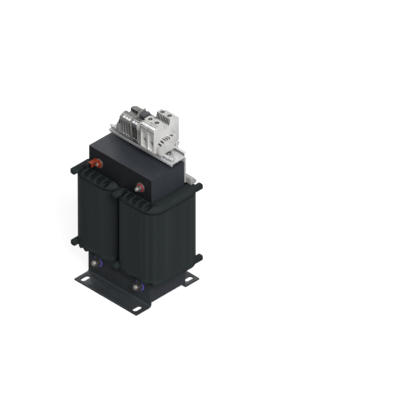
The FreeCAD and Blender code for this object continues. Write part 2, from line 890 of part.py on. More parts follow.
def large_outline():
    top = large_top_height
    return on_rail(mirrored([
        (-large_chin_half, 0.0),
        (-large_half_depth, large_chin_height),
        (-large_half_depth, large_face_height),
        (-large_shoulder_half, large_shoulder_height),
        (-large_tower_half, large_shoulder_height),
        (-large_tower_half, top),
        (-large_tower_inner, top),
        (-large_trough_half, top - large_trough_depth),
    ]))


@dataclass(frozen=True)
class ClampSizes:
    """Screw clamp inside a terminal: cage, current bar, screw, and the openings that lead to them."""

    centre_y: float
    housing_width: float
    housing_wall: float
    offset: float
    cage_depth: float
    cage_height: float
    wall: float
    cage_rise: float
    bar_side_clearance: float
    bar_headroom: float
    bar_thickness: float
    screw_diameter: float
    screw_head: float
    head_height: float
    head_sink: float
    slot_width: float
    slot_depth: float
    entry_diameter: float
    entry_rise: float
    entry_reach: float

    @property
    def cage_width(self):
        """What the housing leaves between its two side walls."""
        return self.housing_width - 2 * (self.housing_wall + clamp_play)

    @property
    def bar_width(self):
        return self.cage_width - 2 * (self.wall + self.bar_side_clearance)

    @property
    def cage_bottom(self):
        return rail_top + self.cage_rise

    @property
    def bar_bottom(self):
        """The bar hangs a little below the roof of its cage."""
        roof = self.cage_bottom + self.cage_height - self.wall
        return roof - self.bar_headroom - self.bar_thickness


small_clamp = ClampSizes(
    centre_y=small_centre_y,
    housing_width=small_terminal_width - side_gap,
    housing_wall=small_housing_wall,
    offset=small_clamp_offset,
    cage_depth=small_cage_depth,
    cage_height=small_cage_height,
    wall=small_cage_wall,
    cage_rise=small_cage_rise,
    bar_side_clearance=small_bar_side_clearance,
    bar_headroom=small_bar_headroom,
    bar_thickness=small_bar_thickness,
    screw_diameter=small_screw_diameter,
    screw_head=small_screw_head,
    head_height=small_screw_head_height,
    head_sink=small_screw_sink,
    slot_width=small_screw_slot_width,
    slot_depth=small_screw_slot_depth,
    entry_diameter=small_entry_diameter,
    entry_rise=small_entry_rise,
    entry_reach=small_half_depth,
)
large_clamp = ClampSizes(
    centre_y=rail_centre_y,
    housing_width=large_terminal_width - side_gap,
    housing_wall=large_housing_wall,
    offset=large_clamp_offset,
    cage_depth=large_cage_depth,
    cage_height=large_cage_height,
    wall=large_cage_wall,
    cage_rise=large_cage_rise,
    bar_side_clearance=large_bar_side_clearance,
    bar_headroom=large_bar_headroom,
    bar_thickness=large_bar_thickness,
    screw_diameter=large_screw_diameter,
    screw_head=large_screw_head,
    head_height=large_screw_head_height,
    head_sink=large_screw_sink,
    slot_width=large_screw_slot_width,
    slot_depth=large_screw_slot_depth,
    entry_diameter=large_entry_diameter,
    entry_rise=large_entry_rise,
    entry_reach=large_half_depth,
)


def clamp_cavity(sizes, x, top_height):
    """What is cut from a housing for its two clamps, its screws, its wire entries and its bar."""
    play = clamp_play
    half_x = sizes.cage_width / 2 + play
    half_y = sizes.cage_depth / 2 + play
    z0 = sizes.cage_bottom - play
    z1 = sizes.cage_bottom + sizes.cage_height + play
    entry_z = sizes.cage_bottom + sizes.entry_rise
    bar_z = sizes.bar_bottom
    half_bar = sizes.bar_width / 2 + play
    cutters = [box(x - half_bar, x + half_bar, sizes.centre_y - sizes.offset, sizes.centre_y + sizes.offset,
                   bar_z - play, bar_z + sizes.bar_thickness + play)]
    for side in (-1, 1):
        y = sizes.centre_y + side * sizes.offset
        face = sizes.centre_y + side * sizes.entry_reach
        cutters.append(box(x - half_x, x + half_x, y - half_y, y + half_y, z0, z1))
        cutters.append(cylinder_z(x, y, sizes.screw_head / 2 + play, z0, rail_top + top_height))
        cutters.append(cylinder_y(x, entry_z, sizes.entry_diameter / 2, min(y, face), max(y, face)))
    return cutters


def clamp_cages(sizes, x):
    cages = []
    for side in (-1, 1):
        y = sizes.centre_y + side * sizes.offset
        z0 = sizes.cage_bottom
        half_x, half_y = sizes.cage_width / 2, sizes.cage_depth / 2
        cage = box(x - half_x, x + half_x, y - half_y, y + half_y, z0, z0 + sizes.cage_height)
        hollow = box(x - half_x + sizes.wall, x + half_x - sizes.wall, y - half_y, y + half_y,
                     z0 + sizes.wall, z0 + sizes.cage_height - sizes.wall)
        thread = cylinder_z(x, y, sizes.screw_diameter / 2 + nut_bore_clearance, z0 + sizes.cage_height / 2,
                            z0 + sizes.cage_height)
        cages.append(cage.cut([hollow, thread]))
    return cages


def current_bar(sizes, x):
    z = sizes.bar_bottom
    half_y = sizes.offset + sizes.cage_depth / 2 - sizes.wall
    half_x = sizes.bar_width / 2
    return box(x - half_x, x + half_x, sizes.centre_y - half_y, sizes.centre_y + half_y,
               z, z + sizes.bar_thickness)


def slotted_screw(x, y, diameter, head_diameter, head_height, slot, head_top, foot):
    """Screw with a slotted cylindrical head, standing in its hole. The slot is a width and a depth."""
    slot_width, slot_depth = slot
    head = cylinder_z(x, y, head_diameter / 2, head_top - head_height, head_top)
    shank = cylinder_z(x, y, diameter / 2, foot, head_top - head_height)
    drive = box(x - head_diameter, x + head_diameter, y - slot_width / 2, y + slot_width / 2,
                head_top - slot_depth, head_top)
    return head.fuse(shank).cut(drive).removeSplitter()


def clamp_screws(sizes, x, top_height):
    screws = []
    foot = sizes.bar_bottom + sizes.bar_thickness
    slot = (sizes.slot_width, sizes.slot_depth)
    for side in (-1, 1):
        y = sizes.centre_y + side * sizes.offset
        screws.append(slotted_screw(x, y, sizes.screw_diameter, sizes.screw_head, sizes.head_height, slot,
                                    rail_top + top_height - sizes.head_sink, foot))
    return screws


def terminal_housing(outline, x0, x1, sizes, top_height):
    body = prism_x(outline, x0, x1).fuse(rail_foot(x0, x1))
    return body.cut(clamp_cavity(sizes, (x0 + x1) / 2, top_height)).removeSplitter()


def small_housing(x0, x1):
    """Small terminal: a tall recess with a round top leads to each wire entry."""
    body = terminal_housing(small_outline(), x0, x1, small_clamp, small_top_height)
    x = (x0 + x1) / 2
    radius = small_recess_width / 2
    crown = rail_top + small_recess_top - radius
    recesses = []
    for side in (-1, 1):
        face = small_centre_y + side * small_half_depth
        y0, y1 = sorted((face, face - side * small_recess_depth))
        recesses.append(cylinder_y(x, crown, radius, y0, y1))
        recesses.append(box(x - radius, x + radius, y0, y1, rail_top + small_recess_bottom, crown))
    return body.cut(recesses).removeSplitter()


def large_housing(x0, x1):
    """Large terminal: a shallow arched recess frames each wire entry."""
    body = terminal_housing(large_outline(), x0, x1, large_clamp, large_top_height)
    x = (x0 + x1) / 2
    radius = large_arch_width / 2
    arches = []
    for side in (-1, 1):
        face = rail_centre_y + side * large_half_depth
        inside = face - side * large_arch_depth
        y0, y1 = min(face, inside), max(face, inside)
        crown = rail_top + large_arch_top - radius
        arches.append(cylinder_y(x, crown, radius, y0, y1))
        arches.append(box(x - radius, x + radius, y0, y1, rail_top + large_arch_bottom, crown))
    recess = cylinder_x(rail_centre_y + dowel_recess_offset, rail_top + dowel_recess_height,
                        dowel_recess_diameter / 2, x1 - dowel_recess_depth, x1)
    return body.cut(arches + [recess]).removeSplitter()


def row_of(first_x, width, count):
    """Left and right faces of like terminals side by side."""
    faces = []
    for index in range(count):
        left = first_x + index * width
        faces.append((left, left + width - side_gap))
    return faces


def plug_blade_places():
    """The two blades stand side by side below the plug, in the part of the trough that it fills."""
    middle = small_centre_y + (small_trough_half - plug_front) / 2
    return middle - plug_blade_offset, middle + plug_blade_offset


def fuse_plug(x0, x1):
    """Plug-in fuse carrier standing in a terminal's trough, with two contact blades below it."""
    floor = rail_top + small_top_height - small_trough_depth
    front = small_centre_y - plug_front + clamp_play
    seat = rail_top + small_top_height
    top = seat + plug_rise
    lower_rear = small_centre_y + small_trough_half - clamp_play
    rear = small_centre_y + plug_rear
    brow = top - plug_grip_depth
    step = seat + clamp_play
    section = [(front, floor), (lower_rear, floor), (lower_rear, step), (rear, step), (rear, brow),
               (rear - plug_grip_depth, top), (front + plug_grip_depth, top), (front, brow)]
    body = prism_x(section, x0 + side_gap, x1 - side_gap)
    x = (x0 + x1) / 2
    half = plug_blade / 2
    blades = []
    for y in plug_blade_places():
        blades.append(box(x - half, x + half, y - plug_blade_length / 2, y + plug_blade_length / 2,
                          floor - plug_blade_depth, floor))
    return body.fuse(blades).removeSplitter()


def plug_sockets(x):
    """Slots in a fuse terminal's trough for the plug's blades."""
    floor = rail_top + small_top_height - small_trough_depth
    half = plug_blade / 2 + clamp_play
    reach = plug_blade_length / 2 + clamp_play
    bottom = floor - plug_blade_depth - clamp_play
    slots = []
    for y in plug_blade_places():
        slots.append(box(x - half, x + half, y - reach, y + reach, bottom, floor))
    return slots


def partition_plate(x0, x1):
    """Thin separating plate that stands proud of the terminals and rises beside the plugs."""
    margin = partition_margin
    front_half = [
        (-small_foot_half_depth - margin, 0.0),
        (-small_half_depth - margin, small_brow_height),
        (-small_half_depth - margin, small_face_height + margin),
        (-small_shoulder_half - margin, small_top_height + margin),
    ]
    plate = small_section(front_half, small_heel_height + margin, heel_reach + margin)
    top = rail_top + small_top_height + margin
    crest_z = rail_top + small_top_height + partition_crest_rise
    crest = [(small_centre_y - partition_ramp_front, top), (small_centre_y - partition_crest_front, crest_z),
             (small_centre_y + partition_crest_rear, crest_z),
             (small_centre_y + small_shoulder_half + margin, top)]
    pieces = rail_foot(x0, x1) + [prism_x(crest, x0, x1)]
    return prism_x(plate, x0, x1).fuse(pieces).removeSplitter()


def cover_plate(x0, x1):
    return prism_x(small_outline(), x0, x1).fuse(rail_foot(x0, x1)).removeSplitter()


# End clamps
def end_clamp_outline():
    return [
        (-clamp_front_reach, clamp_base_height),
        (-clamp_front_reach, clamp_nose_height),
        (-clamp_brow_reach, clamp_brow_height),
        (-clamp_shoulder_reach, clamp_shoulder_height),
        (clamp_tail_reach, clamp_tail_height),
        (clamp_rear_reach, clamp_rear_height),
        (clamp_undercut_reach, clamp_undercut_height),
        (clamp_waist_reach, clamp_base_height),
        (heel_reach, clamp_base_height),
        (heel_reach, 0.0),
        (-clamp_front_reach + clamp_base_height, 0.0),
    ]


def clamp_edge_height(y):
    """Height of the upper edge at a distance from the rail's centre line, in front of its tail."""
    upper = end_clamp_outline()[1:5]
    for (y0, z0), (y1, z1) in zip(upper, upper[1:]):
        if y0 <= y <= y1:
            return z0 + (z1 - z0) * (y - y0) / (y1 - y0)


def end_clamp(x0):
    """End stop on the rail: a toothed upper edge for marker strips, a screw well, an undercut back and a
    latch eye on its foot."""
    x1 = x0 + end_clamp_width
    eye_y = rail_centre_y + latch_eye_reach
    eye_z = rail_top + latch_eye_height
    body = prism_x(on_rail(end_clamp_outline()), x0, x1).fuse(rail_foot(x0, x1))
    body = body.fuse(cylinder_x(eye_y, eye_z, latch_eye_radius, x0, x1))
    cutters = [cylinder_x(eye_y, eye_z, latch_eye_bore, x0, x1)]
    above = rail_top + clamp_shoulder_height
    for index in range(clamp_teeth):
        y = -clamp_brow_reach + clamp_tooth_width / 2 + index * clamp_tooth_pitch
        root = rail_top + clamp_edge_height(y) - clamp_tooth_depth
        y0 = rail_centre_y + y - clamp_tooth_width / 2
        cutters.append(box(x0, x1, y0, y0 + clamp_tooth_width, root, above))
    x = (x0 + x1) / 2
    y = clamp_screw_y()
    seat = rail_top + clamp_seat_height
    cutters.append(cylinder_z(x, y, clamp_screw_hole / 2, seat, above))
    cutters.append(cylinder_z(x, y, clamp_screw_diameter / 2 + nut_bore_clearance, rail_top, seat))
    return body.cut(cutters).removeSplitter()


def clamp_screw_y():
    return rail_centre_y + clamp_waist_reach - clamp_screw_to_waist


def end_clamp_screw(x0):
    x = x0 + end_clamp_width / 2
    seat = rail_top + clamp_seat_height
    slot = (clamp_screw_slot_width, clamp_screw_slot_depth)
    return slotted_screw(x, clamp_screw_y(), clamp_screw_diameter, clamp_screw_head, clamp_screw_head_height,
                         slot, seat + clamp_screw_head_height, rail_top)


# Marker tags
def tag_on_slope(start, end, low_inset, high_inset, x0, x1):
    """Flat tag lying on the slanted shoulder between two section points, clear of both by a share of it."""
    (y0, z0), (y1, z1) = on_rail([start, end])
    run, rise = y1 - y0, z1 - z0
    length = math.hypot(run, rise)
    normal = (-rise / length * tag_thickness, run / length * tag_thickness)
    low = (y0 + run * low_inset, z0 + rise * low_inset)
    high = (y1 - run * high_inset, z1 - rise * high_inset)
    high_outer = (high[0] + normal[0], high[1] + normal[1])
    low_outer = (low[0] + normal[0], low[1] + normal[1])
    return prism_x([low, high, high_outer, low_outer], x0 + tag_side_margin, x1 - tag_side_margin)


def small_tag(x0, x1):
    brow = (-small_forward - small_half_depth, small_face_height)
    shoulder = (-small_forward - small_shoulder_half, small_top_height)
    return tag_on_slope(brow, shoulder, small_tag_low_inset, small_tag_high_inset, x0, x1)


def large_tag(x0, x1):
    brow = (-large_half_depth, large_face_height)
    shoulder = (-large_shoulder_half, large_shoulder_height)
    return tag_on_slope(brow, shoulder, large_tag_inset, large_tag_inset, x0, x1)


# Contact block behind the bracket
def contact_block():
    """Two-pole screw block on the back of the bracket's leg, with its fixing screw at the left end."""
    x0 = contact_block_x
    x1 = x0 + contact_block_length
    z0 = contact_block_bottom
    z1 = z0 + contact_block_height
    rear = leg_rear + contact_block_depth
    ledge = rear - contact_ledge_depth
    ledge_z = z0 + contact_ledge_height
    section = [(leg_rear, z0), (rear, z0), (rear, ledge_z), (ledge, ledge_z), (ledge, z1), (leg_rear, z1)]
    body = prism_x(section, x0, x1)
    x, z = contact_screw_place()
    cutters = [cylinder_y(x, z, contact_screw_diameter / 2 + rail_screw_clearance, leg_rear, ledge)]
    for index in range(contact_poles):
        pole_x = x1 - contact_pitch * (index + 0.5)
        cutters.append(cylinder_z(pole_x, rear - contact_ledge_depth / 2, contact_hole / 2,
                                  z0 + contact_ledge_height / 2, ledge_z))
    return body.cut(cutters)


def contact_block_screw():
    x, z = contact_screw_place()
    seat = leg_rear + contact_block_depth - contact_ledge_depth
    head = cylinder_y(x, z, contact_screw_head / 2, seat, seat + contact_screw_head_height)
    shank = cylinder_y(x, z, contact_screw_diameter / 2, leg_front, seat)
    return head.fuse(shank).removeSplitter()


def save_terminal_strip():
    small = row_of(small_terminals_x, small_terminal_width, small_terminal_count)
    fuse = row_of(fuse_terminals_x, small_terminal_width, fuse_terminal_count)
    light = (light_terminal_x, light_terminal_x + small_terminal_width - side_gap)
    large = row_of(large_terminals_x, large_terminal_width, large_terminal_count)

    for number, (x0, x1) in enumerate(small, 1):
        save(f"small_terminal_{number}", small_housing(x0, x1))
    save("cover_plate", cover_plate(cover_plate_x, cover_plate_x + cover_plate_width - side_gap))
    save("partition_plate", partition_plate(partition_x, partition_x + partition_width - side_gap))
    for number, (x0, x1) in enumerate(fuse, 1):
        save(f"fuse_terminal_{number}", small_housing(x0, x1).cut(plug_sockets((x0 + x1) / 2)))
        save(f"fuse_plug_{number}", fuse_plug(x0, x1))
    save("light_terminal", small_housing(*light))
    for number, (x0, x1) in enumerate(large, 1):
        save(f"large_terminal_{number}", large_housing(x0, x1))

    small_centres = [(x0 + x1) / 2 for x0, x1 in small + fuse + [light]]
    large_centres = [(x0 + x1) / 2 for x0, x1 in large]
    save("small_clamp_cages", *[cage for x in small_centres for cage in clamp_cages(small_clamp, x)])
    save("small_current_bars", *[current_bar(small_clamp, x) for x in small_centres])
    save("small_clamp_screws",
         *[screw for x in small_centres for screw in clamp_screws(small_clamp, x, small_top_height)])
    save("large_clamp_cages", *[cage for x in large_centres for cage in clamp_cages(large_clamp, x)])
    save("large_current_bars", *[current_bar(large_clamp, x) for x in large_centres])
    save("large_clamp_screws",
         *[screw for x in large_centres for screw in clamp_screws(large_clamp, x, large_top_height)])
    save("small_marker_tags", *[small_tag(x0, x1) for x0, x1 in small[1:] + fuse])
    save("large_marker_tags", *[large_tag(x0, x1) for x0, x1 in large])

    clamps = {
        "left_end_clamp": strip_left,
        "middle_end_clamp": middle_clamp_x,
        "right_end_clamp": right_clamp_x,
    }
    for name, x0 in clamps.items():
        save(name, end_clamp(x0))
    save("end_clamp_screws", *[end_clamp_screw(x0) for x0 in clamps.values()])


def main():
    os.makedirs("parts", exist_ok=True)
    save("core_u_stack", core_u_stack())
    save("core_i_stack", core_i_stack())
    save_coil("left", -limb_axis)
    save_coil("right", limb_axis)
    save("front_foot", front_foot())
    save("rear_foot", turned(front_foot()))
    save_fasteners()
    save("earth_lug", earth_lug())
    save("rail_bracket", rail_bracket())
    save("mounting_rail", mounting_rail())
    save("rail_screws", *[rail_screw(x, y) for x, y in rail_screw_places()])
    save_terminal_strip()
    save("contact_block", contact_block())
    save("contact_block_screw", contact_block_screw())


main()
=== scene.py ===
import json
import logging
import math
from dataclasses import dataclass, replace
from enum import Enum
from typing import Callable, Dict, List, NamedTuple, Optional, Sequence, Tuple, Union

import bmesh
import bpy
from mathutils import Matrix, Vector

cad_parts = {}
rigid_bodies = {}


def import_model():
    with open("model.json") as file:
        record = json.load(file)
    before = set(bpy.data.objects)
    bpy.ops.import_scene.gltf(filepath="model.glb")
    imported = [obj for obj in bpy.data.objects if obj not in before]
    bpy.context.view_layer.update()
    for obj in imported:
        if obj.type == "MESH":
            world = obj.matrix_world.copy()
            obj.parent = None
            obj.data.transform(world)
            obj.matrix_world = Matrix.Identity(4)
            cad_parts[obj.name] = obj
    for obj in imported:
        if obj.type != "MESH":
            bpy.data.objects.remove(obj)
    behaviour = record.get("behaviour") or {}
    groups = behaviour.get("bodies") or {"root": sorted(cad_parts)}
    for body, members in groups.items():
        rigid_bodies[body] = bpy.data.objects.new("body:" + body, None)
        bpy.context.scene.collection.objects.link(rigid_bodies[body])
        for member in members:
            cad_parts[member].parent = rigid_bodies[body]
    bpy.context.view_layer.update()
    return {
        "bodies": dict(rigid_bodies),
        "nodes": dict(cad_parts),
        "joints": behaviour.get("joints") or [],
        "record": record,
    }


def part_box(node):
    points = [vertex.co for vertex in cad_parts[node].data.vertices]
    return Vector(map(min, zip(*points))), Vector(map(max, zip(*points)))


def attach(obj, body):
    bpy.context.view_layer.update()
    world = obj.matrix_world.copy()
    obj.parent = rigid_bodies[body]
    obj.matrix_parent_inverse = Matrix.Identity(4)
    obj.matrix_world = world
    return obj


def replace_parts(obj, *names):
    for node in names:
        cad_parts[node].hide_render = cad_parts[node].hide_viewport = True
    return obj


log = logging.getLogger("transformer")

BMesh = bmesh.types.BMesh
Face = bmesh.types.BMFace
Socket = bpy.types.NodeSocket
Key = Union[int, str]
Colour = Tuple[float, float, float]
Pair = Tuple[float, float]
Test = Callable[[Face], bool]
MM = 0.001
BODY = "root"
WELD = 1e-6
FLAT = math.radians(0.5)
SHARP = math.radians(32.0)
CHANCE_SEED = 3
# Blender's wave node draws 20 / tau bands in a metre at scale 1
WAVE_UNIT = math.tau / 20.0
# Heights of the finest relief, in metres
HAIRLINE = 0.00002
SLOW_WAVE = 0.0001
# How much of a face's normal points along an axis where the face looks that way
FACING = 0.9
# How much finer than a band the noise is that makes the bands wander
WANDER_SCALE = 2.0
# A rounded edge: its steps, and Blender's number for a round section
ROUND_STEPS = 2
ROUND_PROFILE = 0.5


class Detail(Enum):
    """How many octaves of finer noise lie on a cloud."""

    SOFT = 2.0
    PLAIN = 3.0
    RICH = 4.0
    RICHEST = 5.0


class BoltRow(Enum):
    """The two rows of through bolts, each by the name of its CAD node."""

    UPPER = "upper_bolts"
    LOWER = "lower_bolts"


def placed(name: str, data: bpy.types.ID) -> bpy.types.Object:
    """A new object in the scene.

    Args:
        name: Its name.
        data: Its mesh, lamp or camera.

    Returns:
        The object.
    """
    made = bpy.data.objects.new(name, data)
    bpy.context.scene.collection.objects.link(made)
    return made


class NodeTree:
    """A node tree, with short calls that add a node and feed it."""

    def __init__(self, tree: bpy.types.NodeTree) -> None:
        """Keep the tree and empty it."""
        self.tree = tree
        tree.nodes.clear()

    def feed(self, node: bpy.types.Node, feeds: Dict[Key, object]) -> None:
        """Link or set a node's inputs.

        Args:
            node: The node.
            feeds: What each input gets, by its name or number: another node's output, or a value.
        """
        for key, value in feeds.items():
            if isinstance(value, Socket):
                self.tree.links.new(value, node.inputs[key])
            else:
                node.inputs[key].default_value = value

    def add(self, kind: str, feeds: Optional[Dict[Key, object]] = None, output: Key = 0,
            **settings: object) -> Optional[Socket]:
        """Add a node and feed it.

        Args:
            kind: Blender's name for the node type.
            feeds: What its inputs get.
            output: Name or number of the output to give.
            **settings: Properties to set on the node first.

        Returns:
            That output, or None where the node has no outputs.
        """
        made = self.tree.nodes.new(kind)
        for key, value in settings.items():
            setattr(made, key, value)
        self.feed(made, feeds or {})
        return made.outputs[output] if len(made.outputs) else None

    def reckon(self, operation: str, *values: object) -> Socket:
        """The result of one step of arithmetic on outputs or numbers."""
        return self.add("ShaderNodeMath", dict(enumerate(values)), operation=operation)

    def part(self, vector: Socket, axis: str) -> Socket:
        """One part of a vector."""
        return self.add("ShaderNodeSeparateXYZ", {"Vector": vector}, axis)


class Shade(NodeTree):
    """A material's tree, with short calls for the patterns that the finishes share."""

    def __init__(self, name: str) -> None:
        """Start a material with its shader and its output.

        Args:
            name: The finish's name in plain words.
        """
        self.material = bpy.data.materials.new(name)
        self.material.use_nodes = True
        super().__init__(self.material.node_tree)
        surface = self.add("ShaderNodeBsdfPrincipled")
        self.shader = surface.node
        self.add("ShaderNodeOutputMaterial", {"Surface": surface})
        self.place = self.add("ShaderNodeTexCoord", output="Object")

    def noise(self, size: float, detail: Detail = Detail.PLAIN, scale: Sequence[float] = (1, 1, 1)) -> Socket:
        """Cloudy noise.

        Args:
            size: Size of a cloud in metres.
            detail: How much finer noise lies on it.
            scale: Stretch along each axis.

        Returns:
            A value around one half.
        """
        place = self.add("ShaderNodeMapping", {"Scale": scale, "Vector": self.place})
        feeds = {"Scale": 1.0 / size, "Detail": detail.value, "Vector": place}
        return self.add("ShaderNodeTexNoise", feeds, "Fac")

    def crystals(self, size: float) -> Socket:
        """Crystal-like cells of a size in metres, each of one grey value."""
        cells = self.add("ShaderNodeTexVoronoi", {"Scale": 1.0 / size, "Vector": self.place}, "Color")
        return self.add("ShaderNodeRGBToBW", {"Color": cells})

    def bands(self, pitch: float, axis: str, wander: float) -> Socket:
        """Even bands across one axis.

        Args:
            pitch: Distance between two bands in metres.
            axis: X, Y or Z.
            wander: How far the bands wander.

        Returns:
            A wave from 0 to 1.
        """
        return self.add("ShaderNodeTexWave", {
            "Scale": WAVE_UNIT / pitch,
            "Distortion": wander,
            "Detail Scale": WANDER_SCALE,
            "Vector": self.place,
        }, "Fac", bands_direction=axis)

    def relief(self, heights: Sequence[Tuple[Socket, float]]) -> Optional[Socket]:
        """Raise the surface by several patterns, one on another.

        Args:
            heights: Each pattern with its height in metres.

        Returns:
            The normal.
        """
        normal = None
        for height, distance in heights:
            under = {"Normal": normal} if normal else {}
            normal = self.add("ShaderNodeBump", {"Height": height, "Distance": distance, **under})
        return normal


class Patterns(NamedTuple):
    """What makes a finish uneven: patterns of its tone and roughness, its relief, and what darkens it."""

    tone: Socket
    rough: Socket
    relief: Sequence[Tuple[Socket, float]]
    shadow: Optional[Socket] = None


@dataclass(frozen=True)
class Finish:
    """A surface of one colour in uneven tones, with uneven gloss and a fine relief."""

    name: str
    colour: Colour
    roughness: float = 0.45
    specular: float = 0.5
    metallic: float = 0.0
    tones: Pair = (0.92, 1.08)
    tone_span: Pair = (0.3, 0.7)
    rough_span: Pair = (-0.1, 0.1)

    def patterns(self, shade: Shade) -> Patterns:
        """The patterns, which each kind of finish builds in its own way."""
        raise NotImplementedError(self.name)

    def material(self) -> bpy.types.Material:
        """Build the material.

        Returns:
            The material.
        """
        shade = Shade(self.name)
        tone, rough, relief, shadow = self.patterns(shade)
        colour = shade.add("ShaderNodeValToRGB", {"Fac": tone}, "Color")
        for stop, position, share in zip(colour.node.color_ramp.elements, self.tone_span, self.tones):
            stop.position = position
            stop.color = (*(min(1.0, part * share) for part in self.colour), 1.0)
        if shadow:
            colour = shade.add("ShaderNodeVectorMath", {0: colour, "Scale": shadow}, operation="SCALE")
        low, high = (self.roughness + step for step in self.rough_span)
        shade.feed(shade.shader, {
            "Base Color": colour,
            "Roughness": shade.add("ShaderNodeMapRange", {"Value": rough, "To Min": low, "To Max": high}),
            "Normal": shade.relief(relief),
            "Specular IOR Level": self.specular,
            "Metallic": self.metallic,
        })
        return shade.material


@dataclass(frozen=True)
class MouldedPlastic(Finish):
    """Polyamide or filled moulding with a fine grain, which may darken at the joints of a row along X."""

    roughness: float = 0.5
    specular: float = 0.35
    cloud: float = 0.02
    patch: float = 0.006
    grain: float = 0.0007
    grain_height: float = 0.00004
    seam_start: float = 0.0
    seam_pitch: float = 0.0
    seam_half: float = 0.0009
    seam_depth: float = 0.3
    side_turn: Pair = (0.8, 0.95)

    def seams(self, shade: Shade) -> Socket:
        """Darkening beside the joints, but not on the faces that look along the row.

        Args:
            shade: The material's tree.

        Returns:
            A factor from the joint's depth of tone to 1.
        """
        from_joint = shade.reckon("SUBTRACT", shade.part(shade.place, "X"), self.seam_start)
        near = shade.reckon("PINGPONG", from_joint, self.seam_pitch / 2)
        dark = shade.add("ShaderNodeMapRange", {
            "Value": near, "From Max": self.seam_half, "To Min": self.seam_depth})
        along = shade.reckon("ABSOLUTE", shade.part(shade.add("ShaderNodeTexCoord", output="Normal"), "X"))
        start, end = self.side_turn
        side = shade.add("ShaderNodeMapRange", {"Value": along, "From Min": start, "From Max": end})
        return shade.reckon("MAXIMUM", dark, side)

    def patterns(self, shade: Shade) -> Patterns:
        """Clouds of tone, patches of gloss, grain, and dark joints where there are any.

        Args:
            shade: The material's tree.

        Returns:
            The patterns.
        """
        grain = shade.noise(self.grain, Detail.SOFT)
        shadow = self.seams(shade) if self.seam_pitch else None
        clouds = shade.noise(self.cloud, Detail.RICH)
        return Patterns(clouds, shade.noise(self.patch), ((grain, self.grain_height),), shadow)


@dataclass(frozen=True)
class DippedVarnish(Finish):
    """Resin varnish over sheet or moulding: cloudy and rippled, with raised, duller runs."""

    roughness: float = 0.42
    specular: float = 0.25
    tones: Pair = (0.86, 1.14)
    rough_span: Pair = (-0.12, 0.12)
    cloud: float = 0.035
    cloud_stretch: float = 0.5
    run: float = 0.008
    run_stretch: float = 0.25
    run_height: float = 0.00012
    ripple: float = 0.0011
    ripple_height: float = 0.00003

    def patterns(self, shade: Shade) -> Patterns:
        """Clouds of tone, and upright runs that are duller and raised, with a ripple on them.

        Args:
            shade: The material's tree.

        Returns:
            The patterns.
        """
        cloud = shade.noise(self.cloud, Detail.RICHEST, (1.0, 1.0, self.cloud_stretch))
        runs = shade.noise(self.run, scale=(1.0, 1.0, self.run_stretch))
        ripple = shade.noise(self.ripple, Detail.SOFT)
        return Patterns(cloud, runs, ((runs, self.run_height), (ripple, self.ripple_height)))


@dataclass(frozen=True)
class LaminationEdge(Finish):
    """Cut edges of the core's sheets under varnish: a fine line for each sheet."""

    specular: float = 0.25
    tone_span: Pair = (0.32, 0.68)
    rough_span: Pair = (-0.1, 0.12)
    pitch: float = 0.0010
    wander: float = 0.4
    streak: float = 0.0022
    streak_stretch: float = 0.04
    cloud: float = 0.03

    def patterns(self, shade: Shade) -> Patterns:
        """Streaks of tone along the sheets, clouds of gloss, and a line in relief for each sheet.

        Args:
            shade: The material's tree.

        Returns:
            The patterns.
        """
        cloud = shade.noise(self.cloud, Detail.RICH)
        streaks = shade.noise(self.streak, Detail.RICH, (self.streak_stretch, 1.0, self.streak_stretch))
        lines = shade.bands(self.pitch, "Y", self.wander)
        return Patterns(streaks, cloud, ((lines, HAIRLINE), (cloud, SLOW_WAVE)))


@dataclass(frozen=True)
class ZincSheet(Finish):
    """Galvanised sheet with faint crystals and rolling marks along its length."""

    roughness: float = 0.42
    tones: Pair = (0.93, 1.06)
    tone_span: Pair = (0.2, 0.8)
    rough_span: Pair = (-0.1, 0.12)
    crystal: float = 0.004
    mark: float = 0.0012
    mark_stretch: float = 0.03
    wave: float = 0.02

    def patterns(self, shade: Shade) -> Patterns:
        """Crystals of tone, rolling marks in gloss and relief, and slow waves.

        Args:
            shade: The material's tree.

        Returns:
            The patterns.
        """
        marks = shade.noise(self.mark, scale=(self.mark_stretch, 1.0, 1.0))
        wave = shade.noise(self.wave, Detail.SOFT)
        return Patterns(shade.crystals(self.crystal), marks, ((marks, HAIRLINE), (wave, SLOW_WAVE)))


@dataclass(frozen=True)
class PlatedSteel(Finish):
    """Plated fastener metal, a little warm, with patches of tone, smears and grain."""

    roughness: float = 0.34
    metallic: float = 0.85
    tones: Pair = (0.72, 1.12)
    tone_span: Pair = (0.3, 0.65)
    rough_span: Pair = (-0.12, 0.16)
    patch: float = 0.003
    smear: float = 0.0012
    grain: float = 0.0006

    def patterns(self, shade: Shade) -> Patterns:
        """Patches of tone, smears of gloss and grain."""
        grain = shade.noise(self.grain, Detail.SOFT)
        return Patterns(shade.noise(self.patch, Detail.RICH), shade.noise(self.smear), ((grain, HAIRLINE),))


@dataclass(frozen=True)
class WoundLayer(Finish):
    """Turns of wire or film stacked along the limb."""

    roughness: float = 0.4
    tones: Pair = (0.6, 1.1)
    tone_span: Pair = (0.1, 0.7)
    pitch: float = 0.0018
    wander: float = 0.2
    patch: float = 0.004
    rise_part: int = 6

    def patterns(self, shade: Shade) -> Patterns:
        """A band of tone and relief for each turn, and patches of gloss."""
        turns = shade.bands(self.pitch, "Z", self.wander)
        return Patterns(turns, shade.noise(self.patch), ((turns, self.pitch / self.rise_part),))


